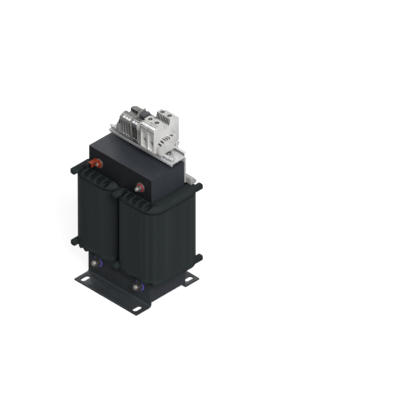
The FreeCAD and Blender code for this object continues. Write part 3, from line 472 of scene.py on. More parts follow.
CORE_EDGE = LaminationEdge("core_sheet_edges", (0.030, 0.034, 0.041))
# Sheet faces of the core, darker than the cut edges: partly the real varnished sheet, partly painted shade on
# the front
CORE_FACE_PAINTED_SHADE = DippedVarnish("core_sheet_face_painted_shade", (0.0115, 0.0121, 0.0152), specular=0.12)
# Painted shade in the bobbin crown's grooves: a darker copy of the bobbin's colour
POCKET_PAINTED_SHADE = DippedVarnish("groove_painted_shade", (0.0090, 0.0112, 0.0116), specular=0.06)
BOBBIN = DippedVarnish("bobbin_moulding", (0.0200, 0.0250, 0.0262), roughness=0.62, specular=0.05)
WRAP = DippedVarnish("coil_wrap_varnish", (0.0203, 0.0255, 0.0270), roughness=0.5, specular=0.14,
                     tones=(0.8, 1.2), cloud=0.007, cloud_stretch=0.012)
FOOT = DippedVarnish("foot_varnish", (0.033, 0.038, 0.042), specular=0.2)
BOLT = PlatedSteel("plated_bolts", (0.40, 0.385, 0.36))
NUT = PlatedSteel("plated_nuts", (0.19, 0.178, 0.165), roughness=0.45)
WASHER = PlatedSteel("plated_washers", (0.20, 0.19, 0.178), roughness=0.5)
CLAMP = PlatedSteel("clamp_metal", (0.58, 0.56, 0.52))
BRASS = PlatedSteel("bar_metal", (0.70, 0.61, 0.45))
ZINC = ZincSheet("zinc_sheet", (0.62, 0.62, 0.63), metallic=0.3)
# Painted shade on the rail channel's inner walls: a dark copy of the zinc sheet
ZINC_PAINTED_SHADE = ZincSheet("zinc_channel_painted_shade", (0.20, 0.20, 0.205), metallic=0.2)
COPPER = WoundLayer("enamelled_wire", (0.62, 0.28, 0.14), metallic=0.8)
FILM = WoundLayer("insulating_film", (0.55, 0.45, 0.29), pitch=0.012)
RED = MouldedPlastic("red_fibre", (0.302, 0.025, 0.04))
BLUE = MouldedPlastic("blue_washer", (0.149, 0.138, 0.598))
SLEEVE = MouldedPlastic("insulating_tube", (0.72, 0.71, 0.66))
ORANGE = MouldedPlastic("orange_coating", (0.23, 0.028, 0.008), roughness=0.45)
GREY = MouldedPlastic("grey_housing", (0.225, 0.225, 0.22))
DARK = MouldedPlastic("dark_housing", (0.115, 0.115, 0.12))
LIGHT = MouldedPlastic("light_housing", (0.625, 0.62, 0.605))
STOP = MouldedPlastic("end_clamp_moulding", (0.545, 0.54, 0.53))
BLOCK = MouldedPlastic("contact_block_moulding", (0.33, 0.33, 0.32))
OLIVE = MouldedPlastic("olive_plate", (0.20, 0.20, 0.185))
PLUG = MouldedPlastic("dark_plug", (0.07, 0.07, 0.075))
WHITE = MouldedPlastic("white_tag", (0.84, 0.84, 0.85), tones=(0.97, 1.03))
# Painted highlight: pale colour for the ridges along the small terminals' shoulders
RIDGE_PAINTED_HIGHLIGHT = MouldedPlastic("ridge_painted_highlight", (0.47, 0.47, 0.46))
# Painted light on the upward floors at the feet of the wire recesses
RECESS_FLOOR_PAINTED_LIGHT = MouldedPlastic("recess_floor_painted_light", (0.62, 0.62, 0.61))
# Painted shade, near black: tooth gaps, small terminals' trough walls, trough ribs and lines under the small
# tags
HOLLOW_PAINTED_SHADE = MouldedPlastic("painted_shade_gap", (0.045, 0.045, 0.045), roughness=0.7, specular=0.1)
# Painted shade on the walls of screw wells, and on the lines along the large tags
WELL_PAINTED_SHADE = MouldedPlastic("painted_shade_well", (0.13, 0.13, 0.128), roughness=0.6, specular=0.2)
# Wire recess interiors: housing colours painted for the light there, painted shade in the dark and light
# housings, a little painted light in the grey
GREY_RECESS_PAINTED_LIGHT = MouldedPlastic("grey_recess_painted_light", (0.24, 0.24, 0.237), roughness=0.6)
DARK_RECESS_PAINTED_SHADE = MouldedPlastic("dark_recess_painted_shade", (0.075, 0.075, 0.075), roughness=0.6)
LIGHT_RECESS_PAINTED_SHADE = MouldedPlastic("light_recess_painted_shade", (0.45, 0.45, 0.44), roughness=0.6)
# Painted shade on both walls of the large terminals' trough
TROUGH_PAINTED_SHADE = MouldedPlastic("trough_painted_shade", (0.38, 0.38, 0.375), roughness=0.6)


class RepeatTree(NodeTree):
    """A geometry node tree that sets copies of one shape on points."""

    def __init__(self, name: str) -> None:
        """Start the tree with its geometry sockets.

        Args:
            name: The tree's name in plain words.
        """
        super().__init__(bpy.data.node_groups.new(name, "GeometryNodeTree"))
        for way in ("INPUT", "OUTPUT"):
            self.tree.interface.new_socket("Geometry", in_out=way, socket_type="NodeSocketGeometry")
        self.start = self.tree.nodes.new("NodeGroupInput")
        self.keys: Dict[str, str] = {}

    def values(self, **kinds: str) -> List[Socket]:
        """Add named inputs to the tree.

        Args:
            **kinds: The kind of each input, such as Float.

        Returns:
            The outputs to link from.
        """
        for name, kind in kinds.items():
            socket = self.tree.interface.new_socket(name, in_out="INPUT", socket_type="NodeSocket" + kind)
            self.keys[name] = socket.identifier
        return [self.start.outputs[name] for name in kinds]

    def chance(self, low: object, high: object, seed: Socket) -> Socket:
        """A number by chance, another one for each copy.

        Args:
            low: The smallest it can be.
            high: The largest.
            seed: The seed.

        Returns:
            The number.
        """
        return self.add("FunctionNodeRandomValue", {2: low, 3: high, "Seed": seed}, 1, data_type="FLOAT")

    def copies(self, points: Socket, shape: Socket, material: Socket, **turned: Socket) -> Socket:
        """Copies of an object's shape on points, made real, with a material.

        Args:
            points: The points.
            shape: The object.
            material: The material.
            **turned: How each copy is turned or scaled.

        Returns:
            The geometry.
        """
        template = self.add("GeometryNodeObjectInfo", {"Object": shape}, "Geometry")
        copies = self.add("GeometryNodeInstanceOnPoints", {"Points": points, "Instance": template, **turned})
        real = self.add("GeometryNodeRealizeInstances", {"Geometry": copies})
        return self.add("GeometryNodeSetMaterial", {"Geometry": real, "Material": material})

    def run(self, name: str, base: bpy.types.Mesh, values: Dict[str, object]) -> bpy.types.Object:
        """Evaluate the tree on a base mesh and keep the result as a plain mesh.

        Args:
            name: The new piece's name.
            base: The mesh whose points the tree starts from.
            values: What each named input is set to.

        Returns:
            The piece.
        """
        carrier = placed(name + "_carrier", base)
        modifier = carrier.modifiers.new("repeat", "NODES")
        modifier.node_group = self.tree
        for key, value in values.items():
            modifier[self.keys[key]] = value
        bpy.context.view_layer.update()
        evaluated = carrier.evaluated_get(bpy.context.evaluated_depsgraph_get())
        mesh = bpy.data.meshes.new_from_object(evaluated)
        mesh.name = name
        carrier.modifiers.remove(modifier)
        bpy.data.objects.remove(carrier)
        return placed(name, mesh)


def stack_tree() -> RepeatTree:
    """Tree for a stack of sheets: copies along a line, each a hair smaller, with faces and edges apart.

    Returns:
        The tree, with its sheet, pitch, count, play, seed and materials as inputs.
    """
    tree = RepeatTree("sheet_stack")
    sheet, count, pitch, play, seed, edge, face = tree.values(
        Sheet="Object", Count="Int", Pitch="Float", Play="Float", Seed="Int", Edge="Material",
        Face="Material")
    step = tree.add("ShaderNodeCombineXYZ", {"Y": pitch})
    line = tree.add("GeometryNodeMeshLine", {"Count": count, "Offset": step})
    share = tree.chance(tree.reckon("SUBTRACT", 1.0, play), 1.0, seed)
    size = tree.add("ShaderNodeCombineXYZ", {"X": share, "Y": 1.0, "Z": share})
    coated = tree.copies(line, sheet, edge, Scale=size)
    # Faces that look along Y get the face material, which carries painted shade
    along = tree.reckon("ABSOLUTE", tree.part(tree.add("GeometryNodeInputNormal"), "Y"))
    is_face = tree.reckon("GREATER_THAN", along, FACING)
    fronted = tree.add("GeometryNodeSetMaterial", {
        "Geometry": coated, "Selection": is_face, "Material": face})
    tree.add("NodeGroupOutput", {"Geometry": fronted})
    return tree


def copies_tree() -> RepeatTree:
    """Tree for like parts: one copy on each point, all leaning alike and each turned by chance.

    Returns:
        The tree, with its template, lean, turn, seed and material as inputs.
    """
    tree = RepeatTree("like_parts")
    template, lean, turn, seed, metal = tree.values(
        Template="Object", Lean="Vector", Turn="Vector", Seed="Int", Metal="Material")
    share = tree.chance(-1.0, 1.0, seed)
    turned = tree.add("ShaderNodeVectorMath", {0: turn, "Scale": share}, operation="SCALE")
    whole = tree.add("ShaderNodeVectorMath", {0: lean, 1: turned}, operation="ADD")
    points = tree.start.outputs["Geometry"]
    tree.add("NodeGroupOutput", {"Geometry": tree.copies(points, template, metal, Rotation=whole)})
    return tree


def points_mesh(name: str, places: Sequence[Vector]) -> bpy.types.Mesh:
    """A mesh of bare points for a tree to start from.

    Args:
        name: The mesh's name.
        places: The points.

    Returns:
        The mesh.
    """
    mesh = bpy.data.meshes.new(name)
    mesh.from_pydata([tuple(place) for place in places], [], [])
    return mesh


def plain_mesh(name: str, work: BMesh) -> bpy.types.Mesh:
    """Turn a mesh in work into a plain one.

    Args:
        name: The mesh's name.
        work: The mesh in work; it is freed.

    Returns:
        The plain mesh.
    """
    mesh = bpy.data.meshes.new(name)
    work.to_mesh(mesh)
    work.free()
    return mesh


def bar(size: Sequence[float], bevel: float, segments: int = 1) -> BMesh:
    """A bar around the origin with bevelled edges.

    Args:
        size: Its width, depth and height.
        bevel: Width of the bevel.
        segments: Steps across it.

    Returns:
        The mesh in work.
    """
    work = bmesh.new()
    bmesh.ops.create_cube(work, size=1.0)
    bmesh.ops.scale(work, verts=work.verts, vec=size)
    bmesh.ops.bevel(work, geom=work.edges[:], offset=bevel, segments=segments, affect="EDGES")
    return work


def join_rings(work: BMesh, rings: Sequence[Sequence[bmesh.types.BMVert]], closed: bool) -> None:
    """Skin rings of as many points each.

    Args:
        work: The mesh they are in.
        rings: The rings in order.
        closed: Whether the last one joins the first.
    """
    around = len(rings[0])
    after = list(rings[1:]) + ([rings[0]] if closed else [])
    for low, high in zip(rings, after):
        for step in range(around):
            following = (step + 1) % around
            work.faces.new((low[step], low[following], high[following], high[step]))


def lathe(work: BMesh, profile: Sequence[Pair], sides: int, across: float, bored: bool = False) -> None:
    """Turn a profile about the Y axis and cut it to a hexagon.

    Args:
        work: The mesh to add to.
        profile: Radius and Y of each corner, from one end's axis to the other's.
        sides: Steps round the axis.
        across: Half the distance across the hexagon's flats.
        bored: Whether the profile closes on itself around a bore.
    """
    sixth = math.pi / 3
    rings = []
    for radius, y in profile:
        ring = []
        for step in range(sides):
            angle = math.tau * step / sides
            from_flat = (angle + sixth / 2) % sixth - sixth / 2
            reach = min(radius, across / math.cos(from_flat))
            ring.append(work.verts.new((reach * math.cos(angle), y, reach * math.sin(angle))))
        rings.append(ring)
    join_rings(work, rings, bored)


class Workshop:
    """What the sub-assemblies share: the frame's nodes and slots, the materials made so far and the trees."""

    def __init__(self, frame: Dict[str, object]) -> None:
        """Keep the frame and make the trees.
        """
        self.nodes: Dict[str, bpy.types.Object] = frame["nodes"]
        self.slots = {row["node"]: row["material_slot"] for row in frame["record"]["subparts"]}
        self.made: Dict[str, bpy.types.Material] = {}
        self.stack = stack_tree()
        self.like_parts = copies_tree()

    def material(self, finish: Finish) -> bpy.types.Material:
        """The material of a finish, made at the first call.

        Args:
            finish: One of the finishes.

        Returns:
            Its material.
        """
        if finish.name not in self.made:
            self.made[finish.name] = finish.material()
        return self.made[finish.name]

    def hang(self, piece: bpy.types.Object, node: str) -> bpy.types.Object:
        """Hang a finished piece on the body.

        Args:
            piece: The piece, with its place in its mesh.
            node: Not used.

        Returns:
            The piece.
        """
        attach(piece, BODY)
        log.info("%s: %d faces", piece.name, len(piece.data.polygons))
        return piece

    def seat(self, piece: bpy.types.Object, node: str) -> None:
        """Hang a finished piece on the body, in place of a CAD node."""
        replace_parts(self.hang(piece, node), node)

    def repeat(self, name: str, work: BMesh, places: Sequence[Vector], finish: Finish,
               lean: Sequence[float] = (0.0, 0.0, 0.0),
               turn: Sequence[float] = (0.0, 0.0, 0.0)) -> bpy.types.Object:
        """Set copies of a shape on points.

        Args:
            name: The piece's name.
            work: The shape around the origin; it is freed.
            places: The points.
            finish: Its finish.
            lean: How every copy is turned, in radians about each axis.
            turn: How far a copy may be turned by chance, in radians about each axis.

        Returns:
            The piece.
        """
        bmesh.ops.recalc_face_normals(work, faces=work.faces[:])
        template = self.shown(name + "_template", work)
        piece = self.like_parts.run(name, points_mesh(name + "_points", places), {
            "Template": template, "Lean": lean, "Turn": turn, "Seed": CHANCE_SEED,
            "Metal": self.material(finish)})
        bpy.data.objects.remove(template)
        return piece

    def coat(self, finish: Finish, *nodes: str) -> None:
        """Give carried-over CAD nodes a finish.

        Args:
            finish: The finish.
            *nodes: The nodes' names.
        """
        for node in nodes:
            mesh = self.nodes[node].data
            mesh.materials.clear()
            mesh.materials.append(self.material(finish))

    def ease(self, finish: Finish, width: float, *nodes: str,
             marks: Sequence[Tuple[Test, Finish]] = ()) -> None:
        """Seat copies of CAD nodes with their sharp edges rounded, as moulding or pressing leaves them.

        Args:
            finish: Their finish.
            width: Width of the rounding in metres; 0 leaves the edges sharp.
            *nodes: The nodes' names.
            marks: Tests of a face, each with the finish that it gets instead; the first that holds counts.
        """
        for node in nodes:
            work = bmesh.new()
            work.from_mesh(self.nodes[node].data)
            bmesh.ops.remove_doubles(work, verts=work.verts, dist=WELD)
            if width > 0:
                bmesh.ops.dissolve_limit(work, angle_limit=FLAT, verts=work.verts, edges=work.edges)
                sharp = [e for e in work.edges if len(e.link_faces) == 2 and e.calc_face_angle() > SHARP]
                bmesh.ops.bevel(work, geom=sharp, offset=width, segments=ROUND_STEPS, profile=ROUND_PROFILE,
                                affect="EDGES")
            for face in work.faces:
                holding = (number for number, (test, _) in enumerate(marks, 1) if test(face))
                face.material_index = next(holding, 0)
            self.seat(self.shown(node + "_eased", work, finish, *(other for _, other in marks)), node)

    def shown(self, name: str, work: BMesh, *finishes: Finish) -> bpy.types.Object:
        """Turn a mesh in work into a shaded piece at the origin.

        Args:
            name: The piece's name.
            work: The mesh; it is freed.
            *finishes: The piece's finishes, in the order of its faces' numbers.

        Returns:
            The piece.
        """
        for face in work.faces:
            face.smooth = True
        mesh = plain_mesh(name, work)
        mesh.set_sharp_from_angle(angle=SHARP)
        for finish in finishes:
            mesh.materials.append(self.material(finish))
        return placed(name, mesh)


def wall_test(centre_y: float, reach: Pair, heights: Pair, turn: float) -> Test:
    """A test of whether a face is one of two walls that stand on both sides of an upright plane across Y.

    Args:
        centre_y: Y of the plane.
        reach: How near the plane and how far from it the middle of a wall may lie.
        heights: Between what heights it lies.
        turn: How much of the face's normal has to point along Y.

    Returns:
        The test.
    """

    def stands(face: Face) -> bool:
        """Whether a face is one of the walls.

        Args:
            face: The face.

        Returns:
            True if so.
        """
        middle = face.calc_center_median()
        beside = reach[0] <= abs(middle.y - centre_y) < reach[1]
        return beside and heights[0] < middle.z < heights[1] and abs(face.normal.y) > turn

    return stands


@dataclass
class Core:
    """The laminated core: a U stack with an I stack on it, sheet by sheet."""

    shop: Workshop
    limb: float = 50 * MM
    yoke: float = 50 * MM
    sheet: float = 0.97 * MM
    pitch: float = 1.0 * MM
    play: float = 0.0008
    hole_radius: float = 5.0 * MM
    hole_sides: int = 32
    seed: int = 7

    def sheet_mesh(self, name: str, corners: Sequence[Pair], holes: Sequence[Pair],
                   centre: Vector) -> bpy.types.Mesh:
        """One sheet, filled between its outline and its bolt holes, with its thickness.

        Args:
            name: The mesh's name.
            corners: X and Z of the outline's corners.
            holes: X and Z of the holes' centres.
            centre: The stack's centre, which the sheet is drawn around.

        Returns:
            The mesh.
        """
        turn = [math.tau * step / self.hole_sides for step in range(self.hole_sides)]
        reach = self.hole_radius
        rims = [[(x + reach * math.cos(angle), z + reach * math.sin(angle)) for angle in turn]
                for x, z in holes]
        work = bmesh.new()
        edges = []
        for loop in [corners] + rims:
            verts = [work.verts.new((x - centre.x, 0.0, z - centre.z)) for x, z in loop]
            edges += [work.edges.new(ends) for ends in zip(verts, verts[1:] + verts[:1])]
        bmesh.ops.triangle_fill(work, edges=edges, use_beauty=True, use_dissolve=False)
        side = bmesh.ops.extrude_face_region(work, geom=work.faces[:])
        moved = [part for part in side["geom"] if isinstance(part, bmesh.types.BMVert)]
        bmesh.ops.translate(work, verts=moved, vec=(0.0, self.sheet, 0.0))
        bmesh.ops.recalc_face_normals(work, faces=work.faces[:])
        return plain_mesh(name, work)

    def build_stack(self, node: str, bolt_z: float, cut: Sequence[Pair]) -> None:
        """Stack a sheet along the depth of a CAD node and stand it in the node's place.

        Args:
            node: The node's name.
            bolt_z: Height of its two bolt holes.
            cut: X and Z of the corners of what is cut out of its upper edge, from right to left.
        """
        low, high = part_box(node)
        centre = (low + high) / 2
        corners = [(low.x, low.z), (high.x, low.z), (high.x, high.z), *cut, (low.x, high.z)]
        bolt_x = high.x - self.limb / 2
        sheet = self.sheet_mesh(node + "_sheet", corners, [(-bolt_x, bolt_z), (bolt_x, bolt_z)], centre)
        template = placed(node + "_sheet", sheet)
        piece = self.shop.stack.run(node + "_sheets", points_mesh(node + "_start", [Vector((0, 0, 0))]), {
            "Sheet": template,
            "Count": round((high.y - low.y) / self.pitch),
            "Pitch": self.pitch,
            "Play": self.play,
            "Seed": self.seed,
            "Edge": self.shop.material(CORE_EDGE),
            # The sheet faces' material, darker partly as painted shade
            "Face": self.shop.material(CORE_FACE_PAINTED_SHADE),
        })
        bpy.data.objects.remove(template)
        for vertex in piece.data.vertices:
            vertex.co += Vector((centre.x, low.y + (self.pitch - self.sheet) / 2, centre.z))
        self.shop.seat(piece, node)

    def build(self) -> None:
        """Build both stacks."""
        low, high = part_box("core_u_stack")
        window, sill = high.x - self.limb, low.z + self.yoke
        cut = ((window, high.z), (window, sill), (-window, sill), (-window, high.z))
        bolt_low, bolt_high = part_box(BoltRow.LOWER.value)
        self.build_stack("core_u_stack", (bolt_low.z + bolt_high.z) / 2, cut)
        low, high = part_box("core_i_stack")
        self.build_stack("core_i_stack", (low.z + high.z) / 2, ())


@dataclass
class Coil:
    """One coil: its moulded bobbin, its windings and the wrap drawn tight around them.

    The wrap's pleats are a wave over X and Y. The pleat_* and wander_* fields are its numbers.
    """

    shop: Workshop
    side: str
    corner: float = 29 * MM
    wall: float = 1.0 * MM
    pleat: float = 0.12 * MM
    pleat_across: float = 900.0
    pleat_along: float = 760.0
    pleat_shift: float = 2.0
    wander: float = 1.3
    wander_along: float = 410.0
    sag: float = 0.35 * MM
    row_step: float = 4.5 * MM
    facets: int = 4
    facet_steps: int = 4
    facet_share: float = 0.85
    flat_steps: int = 24
    groove_pitch: float = 14.8 * MM
    groove_width: float = 9.6 * MM
    groove_depth: float = 6.2 * MM
    groove_count: int = 5
    side_slack: float = 0.02 * MM
    floor_slack: float = 0.1 * MM
    crest_slack: float = 0.2 * MM
    wall_turn: float = 0.3
    yoke_gap: float = 1.0 * MM
    lip: float = 1.8 * MM
    lip_reach: float = 1.0 * MM
    lip_round_share: float = 0.25
    sink: float = 0.05 * MM

    def centre_x(self) -> float:
        """Where the coil's axis lies."""
        low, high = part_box(self.side + "_outer_wrap")
        return (low.x + high.x) / 2

    def groove_test(self) -> Test:
        """A test of whether a face lines one of the upper crown's grooves, which get painted shade.

        Returns:
            The test.
        """
        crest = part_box(self.side + "_bobbin")[1].z
        inner = -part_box("core_u_stack")[0].y + self.yoke_gap
        centre = self.centre_x()
        most = (self.groove_count - 1) // 2
        half = self.groove_width / 2 + self.side_slack
        floor = crest - self.groove_depth - self.floor_slack

        def lines(face: Face) -> bool:
            """Whether a face lies between a groove's sides, crest and floor.

            Args:
                face: The face.

            Returns:
                True if so.
            """
            middle = face.calc_center_median()
            across = middle.x - centre
            nearest = max(-most, min(most, round(across / self.groove_pitch)))
            within = abs(across - nearest * self.groove_pitch) < half
            sunk = floor < middle.z < crest - self.crest_slack
            return within and sunk and abs(middle.y) > inner and abs(face.normal.y) < self.wall_turn

        return lines

    def build_lips(self) -> None:
        """Close the inner ends of the crown's grooves, in front and behind."""
        node = self.side + "_bobbin"
        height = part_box(node)[1].z - self.groove_depth / 2 - self.sink
        length = (self.groove_count - 1) * self.groove_pitch + self.groove_width + 2 * self.lip_reach
        away = self.yoke_gap + self.sink + self.lip / 2
        for name, y in (("front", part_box("core_u_stack")[0].y - away),
                        ("rear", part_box("rail_bracket")[1].y + away)):
            work = bar((length, self.lip, self.groove_depth), self.lip * self.lip_round_share, ROUND_STEPS)
            bmesh.ops.translate(work, verts=work.verts, vec=(self.centre_x(), y, height))
            self.shop.hang(self.shop.shown(f"{self.side}_crown_{name}_lip", work, BOBBIN), node)

    def outline(self, half_x: float, half_y: float, radius: float) -> List[Tuple[float, float, float]]:
        """Points round a rounded rectangle, each corner drawn in to a few flat facets, as the wrap lies.

        Args:
            half_x: Half its width.
            half_y: Half its depth.
            radius: Its corners' radius.

        Returns:
            X, Y and how near the point is to the middle of a flat, from 0 to 1.
        """
        facet = math.pi / 2 / self.facets
        corner_steps = self.facets * self.facet_steps
        straight_x, straight_y = half_x - radius, half_y - radius
        corners = ((straight_x, straight_y), (-straight_x, straight_y),
                   (-straight_x, -straight_y), (straight_x, -straight_y))
        points = []
        for quarter, (x, y) in enumerate(corners):
            for step in range(corner_steps + 1):
                angle = math.pi / 2 * (quarter + step / corner_steps)
                chord = math.cos(facet / 2) / math.cos(angle % facet - facet / 2)
                reach = radius * (1.0 + (min(chord, 1.0) - 1.0) * self.facet_share)
                points.append((x + reach * math.cos(angle), y + reach * math.sin(angle), 0.0))
            next_x, next_y = corners[(quarter + 1) % 4]
            start_x, start_y, _ = points[-1]
            for step in range(1, self.flat_steps):
                share = step / self.flat_steps
                slack = math.sin(math.pi * share) ** 2
                points.append((start_x + (next_x - x) * share, start_y + (next_y - y) * share, slack))
        return points

    def build_wrap(self) -> None:
        """Wrap the coil: flats drawn in a little, and faint upright pleats all round."""
        node = self.side + "_outer_wrap"
        low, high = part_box(node)
        centre = (low + high) / 2
        half = (high - low) / 2
        rows = round((high.z - low.z) / self.row_step)
        work = bmesh.new()
        rings = []
        for row in range(rows + 1):
            z = low.z + (high.z - low.z) * row / rows
            ends = math.sin(math.pi * row / rows)
            ring = []
            for x, y, slack in self.outline(half.x, half.y, self.corner):
                across = math.sin(x * self.pleat_across + self.wander * math.sin(y * self.wander_along))
                wave = across * math.sin(y * self.pleat_along + self.pleat_shift)
                inward = (self.pleat * (1.0 + wave) / 2 + self.sag * slack) * ends
                shrink = 1.0 - inward / (math.hypot(x, y) * math.hypot(x / half.x, y / half.y))
                ring.append(work.verts.new((centre.x + x * shrink, centre.y + y * shrink, z)))
            rings.append(ring)
        for z in (high.z, low.z):
            inside = self.outline(half.x - self.wall, half.y - self.wall, self.corner - self.wall)
            rings.append([work.verts.new((centre.x + x, centre.y + y, z)) for x, y, _ in inside])
        join_rings(work, rings, True)
        bmesh.ops.recalc_face_normals(work, faces=work.faces[:])
        self.shop.seat(self.shop.shown(node + "_drawn", work, WRAP), node)

    def build(self) -> None:
        """Build the wrap and dress the rest."""
        self.build_wrap()
        # Faces lining the crown's grooves get painted shade
        self.shop.ease(BOBBIN, 0.0, self.side + "_bobbin", marks=((self.groove_test(), POCKET_PAINTED_SHADE),))
        self.build_lips()
        self.shop.coat(COPPER, self.side + "_inner_winding", self.side + "_outer_winding")
        self.shop.coat(FILM, self.side + "_interlayer_insulation")


@dataclass(frozen=True)
class ScrewSize:
    """One size of bolt and nut."""

    radius: float
    half_across: float
    head_height: float
    nut_height: float
    pitch: float
    bevel: float

    @property
    def corner(self) -> float:
        """Reach of the hexagon's corners."""
        return self.half_across * 2 / math.sqrt(3)


M6 = ScrewSize(radius=3.0 * MM, half_across=5.0 * MM, head_height=4.0 * MM, nut_height=5.0 * MM,
               pitch=1.0 * MM, bevel=0.7 * MM)
M8 = ScrewSize(radius=4.0 * MM, half_across=6.5 * MM, head_height=5.3 * MM, nut_height=6.8 * MM,
               pitch=1.25 * MM, bevel=0.9 * MM)


@dataclass
class Fasteners:
    """Through bolts with rolled threads, nuts with bevelled faces, and washers."""

    shop: Workshop
    thread_depth: float = 0.16
    thread_length: float = 24 * MM
    thread_crest: float = 0.02 * MM
    bore_play: float = 0.05 * MM
    lower_stickout: float = 4.0 * MM
    right_stickout: float = 4.4 * MM
    earth_stickout: float = 1.2 * MM
    earth_nut_height: float = 3.2 * MM
    lug_sheet: float = 1.2 * MM
    nut_turn: float = math.radians(25.0)
    steel_round: float = 0.25 * MM
    fibre_round: float = 0.2 * MM
    sides: int = 48

    def places(self, row: BoltRow, size: ScrewSize, y: float) -> List[Vector]:
        """Where a pair of bolts stands.

        Args:
            row: The pair.
            size: Its size.
            y: The depth to put the points at.

        Returns:
            The left point and the right one.
        """
        low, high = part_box(row.value)
        x, z = high.x - size.corner, (low.z + high.z) / 2
        return [Vector((-x, y, z)), Vector((x, y, z))]

    def bolt_shape(self, size: ScrewSize, tip_y: float, end_y: float) -> BMesh:
        """A bolt along Y: ridges at its tip, a plain shank and a bevelled head at the back.

        Args:
            size: The bolt's size.
            tip_y: Y of its tip.
            end_y: Y of its head's outer face.

        Returns:
            The mesh in work.
        """
        root = size.radius * (1.0 - self.thread_depth)
        profile = [(0.0, tip_y), (root, tip_y)]
        for turn in range(int(self.thread_length / size.pitch)):
            y = tip_y + size.pitch * (turn + 0.5)
            profile += [(size.radius - self.thread_crest, y), (root, y + size.pitch / 2)]
        seat = end_y - size.head_height
        profile += [(size.radius, profile[-1][1] + size.pitch), (size.radius, seat), (size.corner, seat),
                    (size.corner, end_y - size.bevel / 2), (size.corner - size.bevel, end_y), (0.0, end_y)]
        work = bmesh.new()
        lathe(work, profile, self.sides, size.half_across)
        bmesh.ops.remove_doubles(work, verts=work.verts, dist=WELD)
        return work

    def nut_shape(self, size: ScrewSize, height: float) -> BMesh:
        """A nut along Y, bevelled at its front face, which lies at zero.

        Args:
            size: The nut's size.
            height: Its height.

        Returns:
            The mesh in work.
        """
        bore, bevel = size.radius + self.bore_play, size.bevel
        profile = [(bore, bevel), (bore + bevel / 2, 0.0), (size.corner - bevel, 0.0),
                   (size.corner, bevel / 2), (size.corner, height), (bore, height)]
        work = bmesh.new()
        lathe(work, profile, self.sides, size.half_across, bored=True)
        return work

    def earth_nut_front(self) -> float:
        """Y of the front of the nut on the earth lug."""
        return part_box("earth_lug")[1].y - self.lug_sheet - self.earth_nut_height

    def build_bolts(self) -> None:
        """Build the lower pair alike, and the upper ones with the tips that their nuts leave them."""
        low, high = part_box(BoltRow.LOWER.value)
        pair = self.shop.repeat("lower_bolts_threaded", self.bolt_shape(M8, low.y, high.y),
                                self.places(BoltRow.LOWER, M8, 0.0), BOLT)
        self.shop.seat(pair, BoltRow.LOWER.value)
        low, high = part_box(BoltRow.UPPER.value)
        tips = (self.earth_nut_front() - self.earth_stickout, low.y)
        for side, place, tip in zip(("left", "right"), self.places(BoltRow.UPPER, M6, 0.0), tips):
            shape = self.bolt_shape(M6, tip, high.y)
            bolt = self.shop.repeat(f"upper_{side}_bolt_threaded", shape, [place], BOLT)
            self.shop.seat(bolt, BoltRow.UPPER.value)

    def build_nuts(self) -> None:
        """Build the two lower nuts, the upper right one, and the thin coated one on the earth lug."""
        lower = self.places(BoltRow.LOWER, M8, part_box(BoltRow.LOWER.value)[0].y + self.lower_stickout)
        right = self.places(BoltRow.UPPER, M6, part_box(BoltRow.UPPER.value)[0].y + self.right_stickout)[1:]
        left = self.places(BoltRow.UPPER, M6, self.earth_nut_front())[:1]
        for name, size, height, places, finish, turn in (
            ("lower_nuts_bevelled", M8, M8.nut_height, lower, NUT, self.nut_turn),
            ("upper_nut_bevelled", M6, M6.nut_height, right, NUT, self.nut_turn),
            ("earth_nut_coated", M6, self.earth_nut_height, left, ORANGE, 0.0),
        ):
            nuts = self.shop.repeat(name, self.nut_shape(size, height), places, finish, turn=(0.0, turn, 0.0))
            self.shop.seat(nuts, "hex_nuts")

    def build(self) -> None:
        """Build the bolts, the nuts and the washers."""
        self.build_bolts()
        self.build_nuts()
        self.shop.ease(WASHER, self.steel_round, "steel_washers")
        self.shop.ease(RED, self.fibre_round, "red_insulating_washers")
        self.shop.ease(BLUE, self.fibre_round, "blue_insulating_washers")
        self.shop.coat(SLEEVE, "insulating_sleeves")


@dataclass
class Ironwork:
    """The folded and pressed sheet parts, with the widths that their edges are rounded by."""

    shop: Workshop
    channel_half: float = 13.5 * MM
    rail_sheet: float = 1.0 * MM
    foot_round: float = 0.5 * MM
    bracket_round: float = 0.4 * MM
    rail_round: float = 0.15 * MM
    lug_round: float = 0.3 * MM

    def build(self) -> None:
        """Dress the feet, the bracket, the rail with its channel's walls in painted shade, and the earth lug.
        """
        low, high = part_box("mounting_rail")
        slack = self.rail_sheet / 2
        # Faces of the channel's inner walls, which get painted shade
        channel = wall_test((low.y + high.y) / 2, (0.0, self.channel_half - slack),
                            (low.z + self.rail_sheet + slack, high.z - slack), FACING)
        self.shop.ease(FOOT, self.foot_round, "front_foot", "rear_foot")
        self.shop.ease(ZINC, self.bracket_round, "rail_bracket")
        self.shop.ease(ZINC, self.rail_round, "mounting_rail", marks=((channel, ZINC_PAINTED_SHADE),))
        self.shop.ease(ORANGE, self.lug_round, "earth_lug")


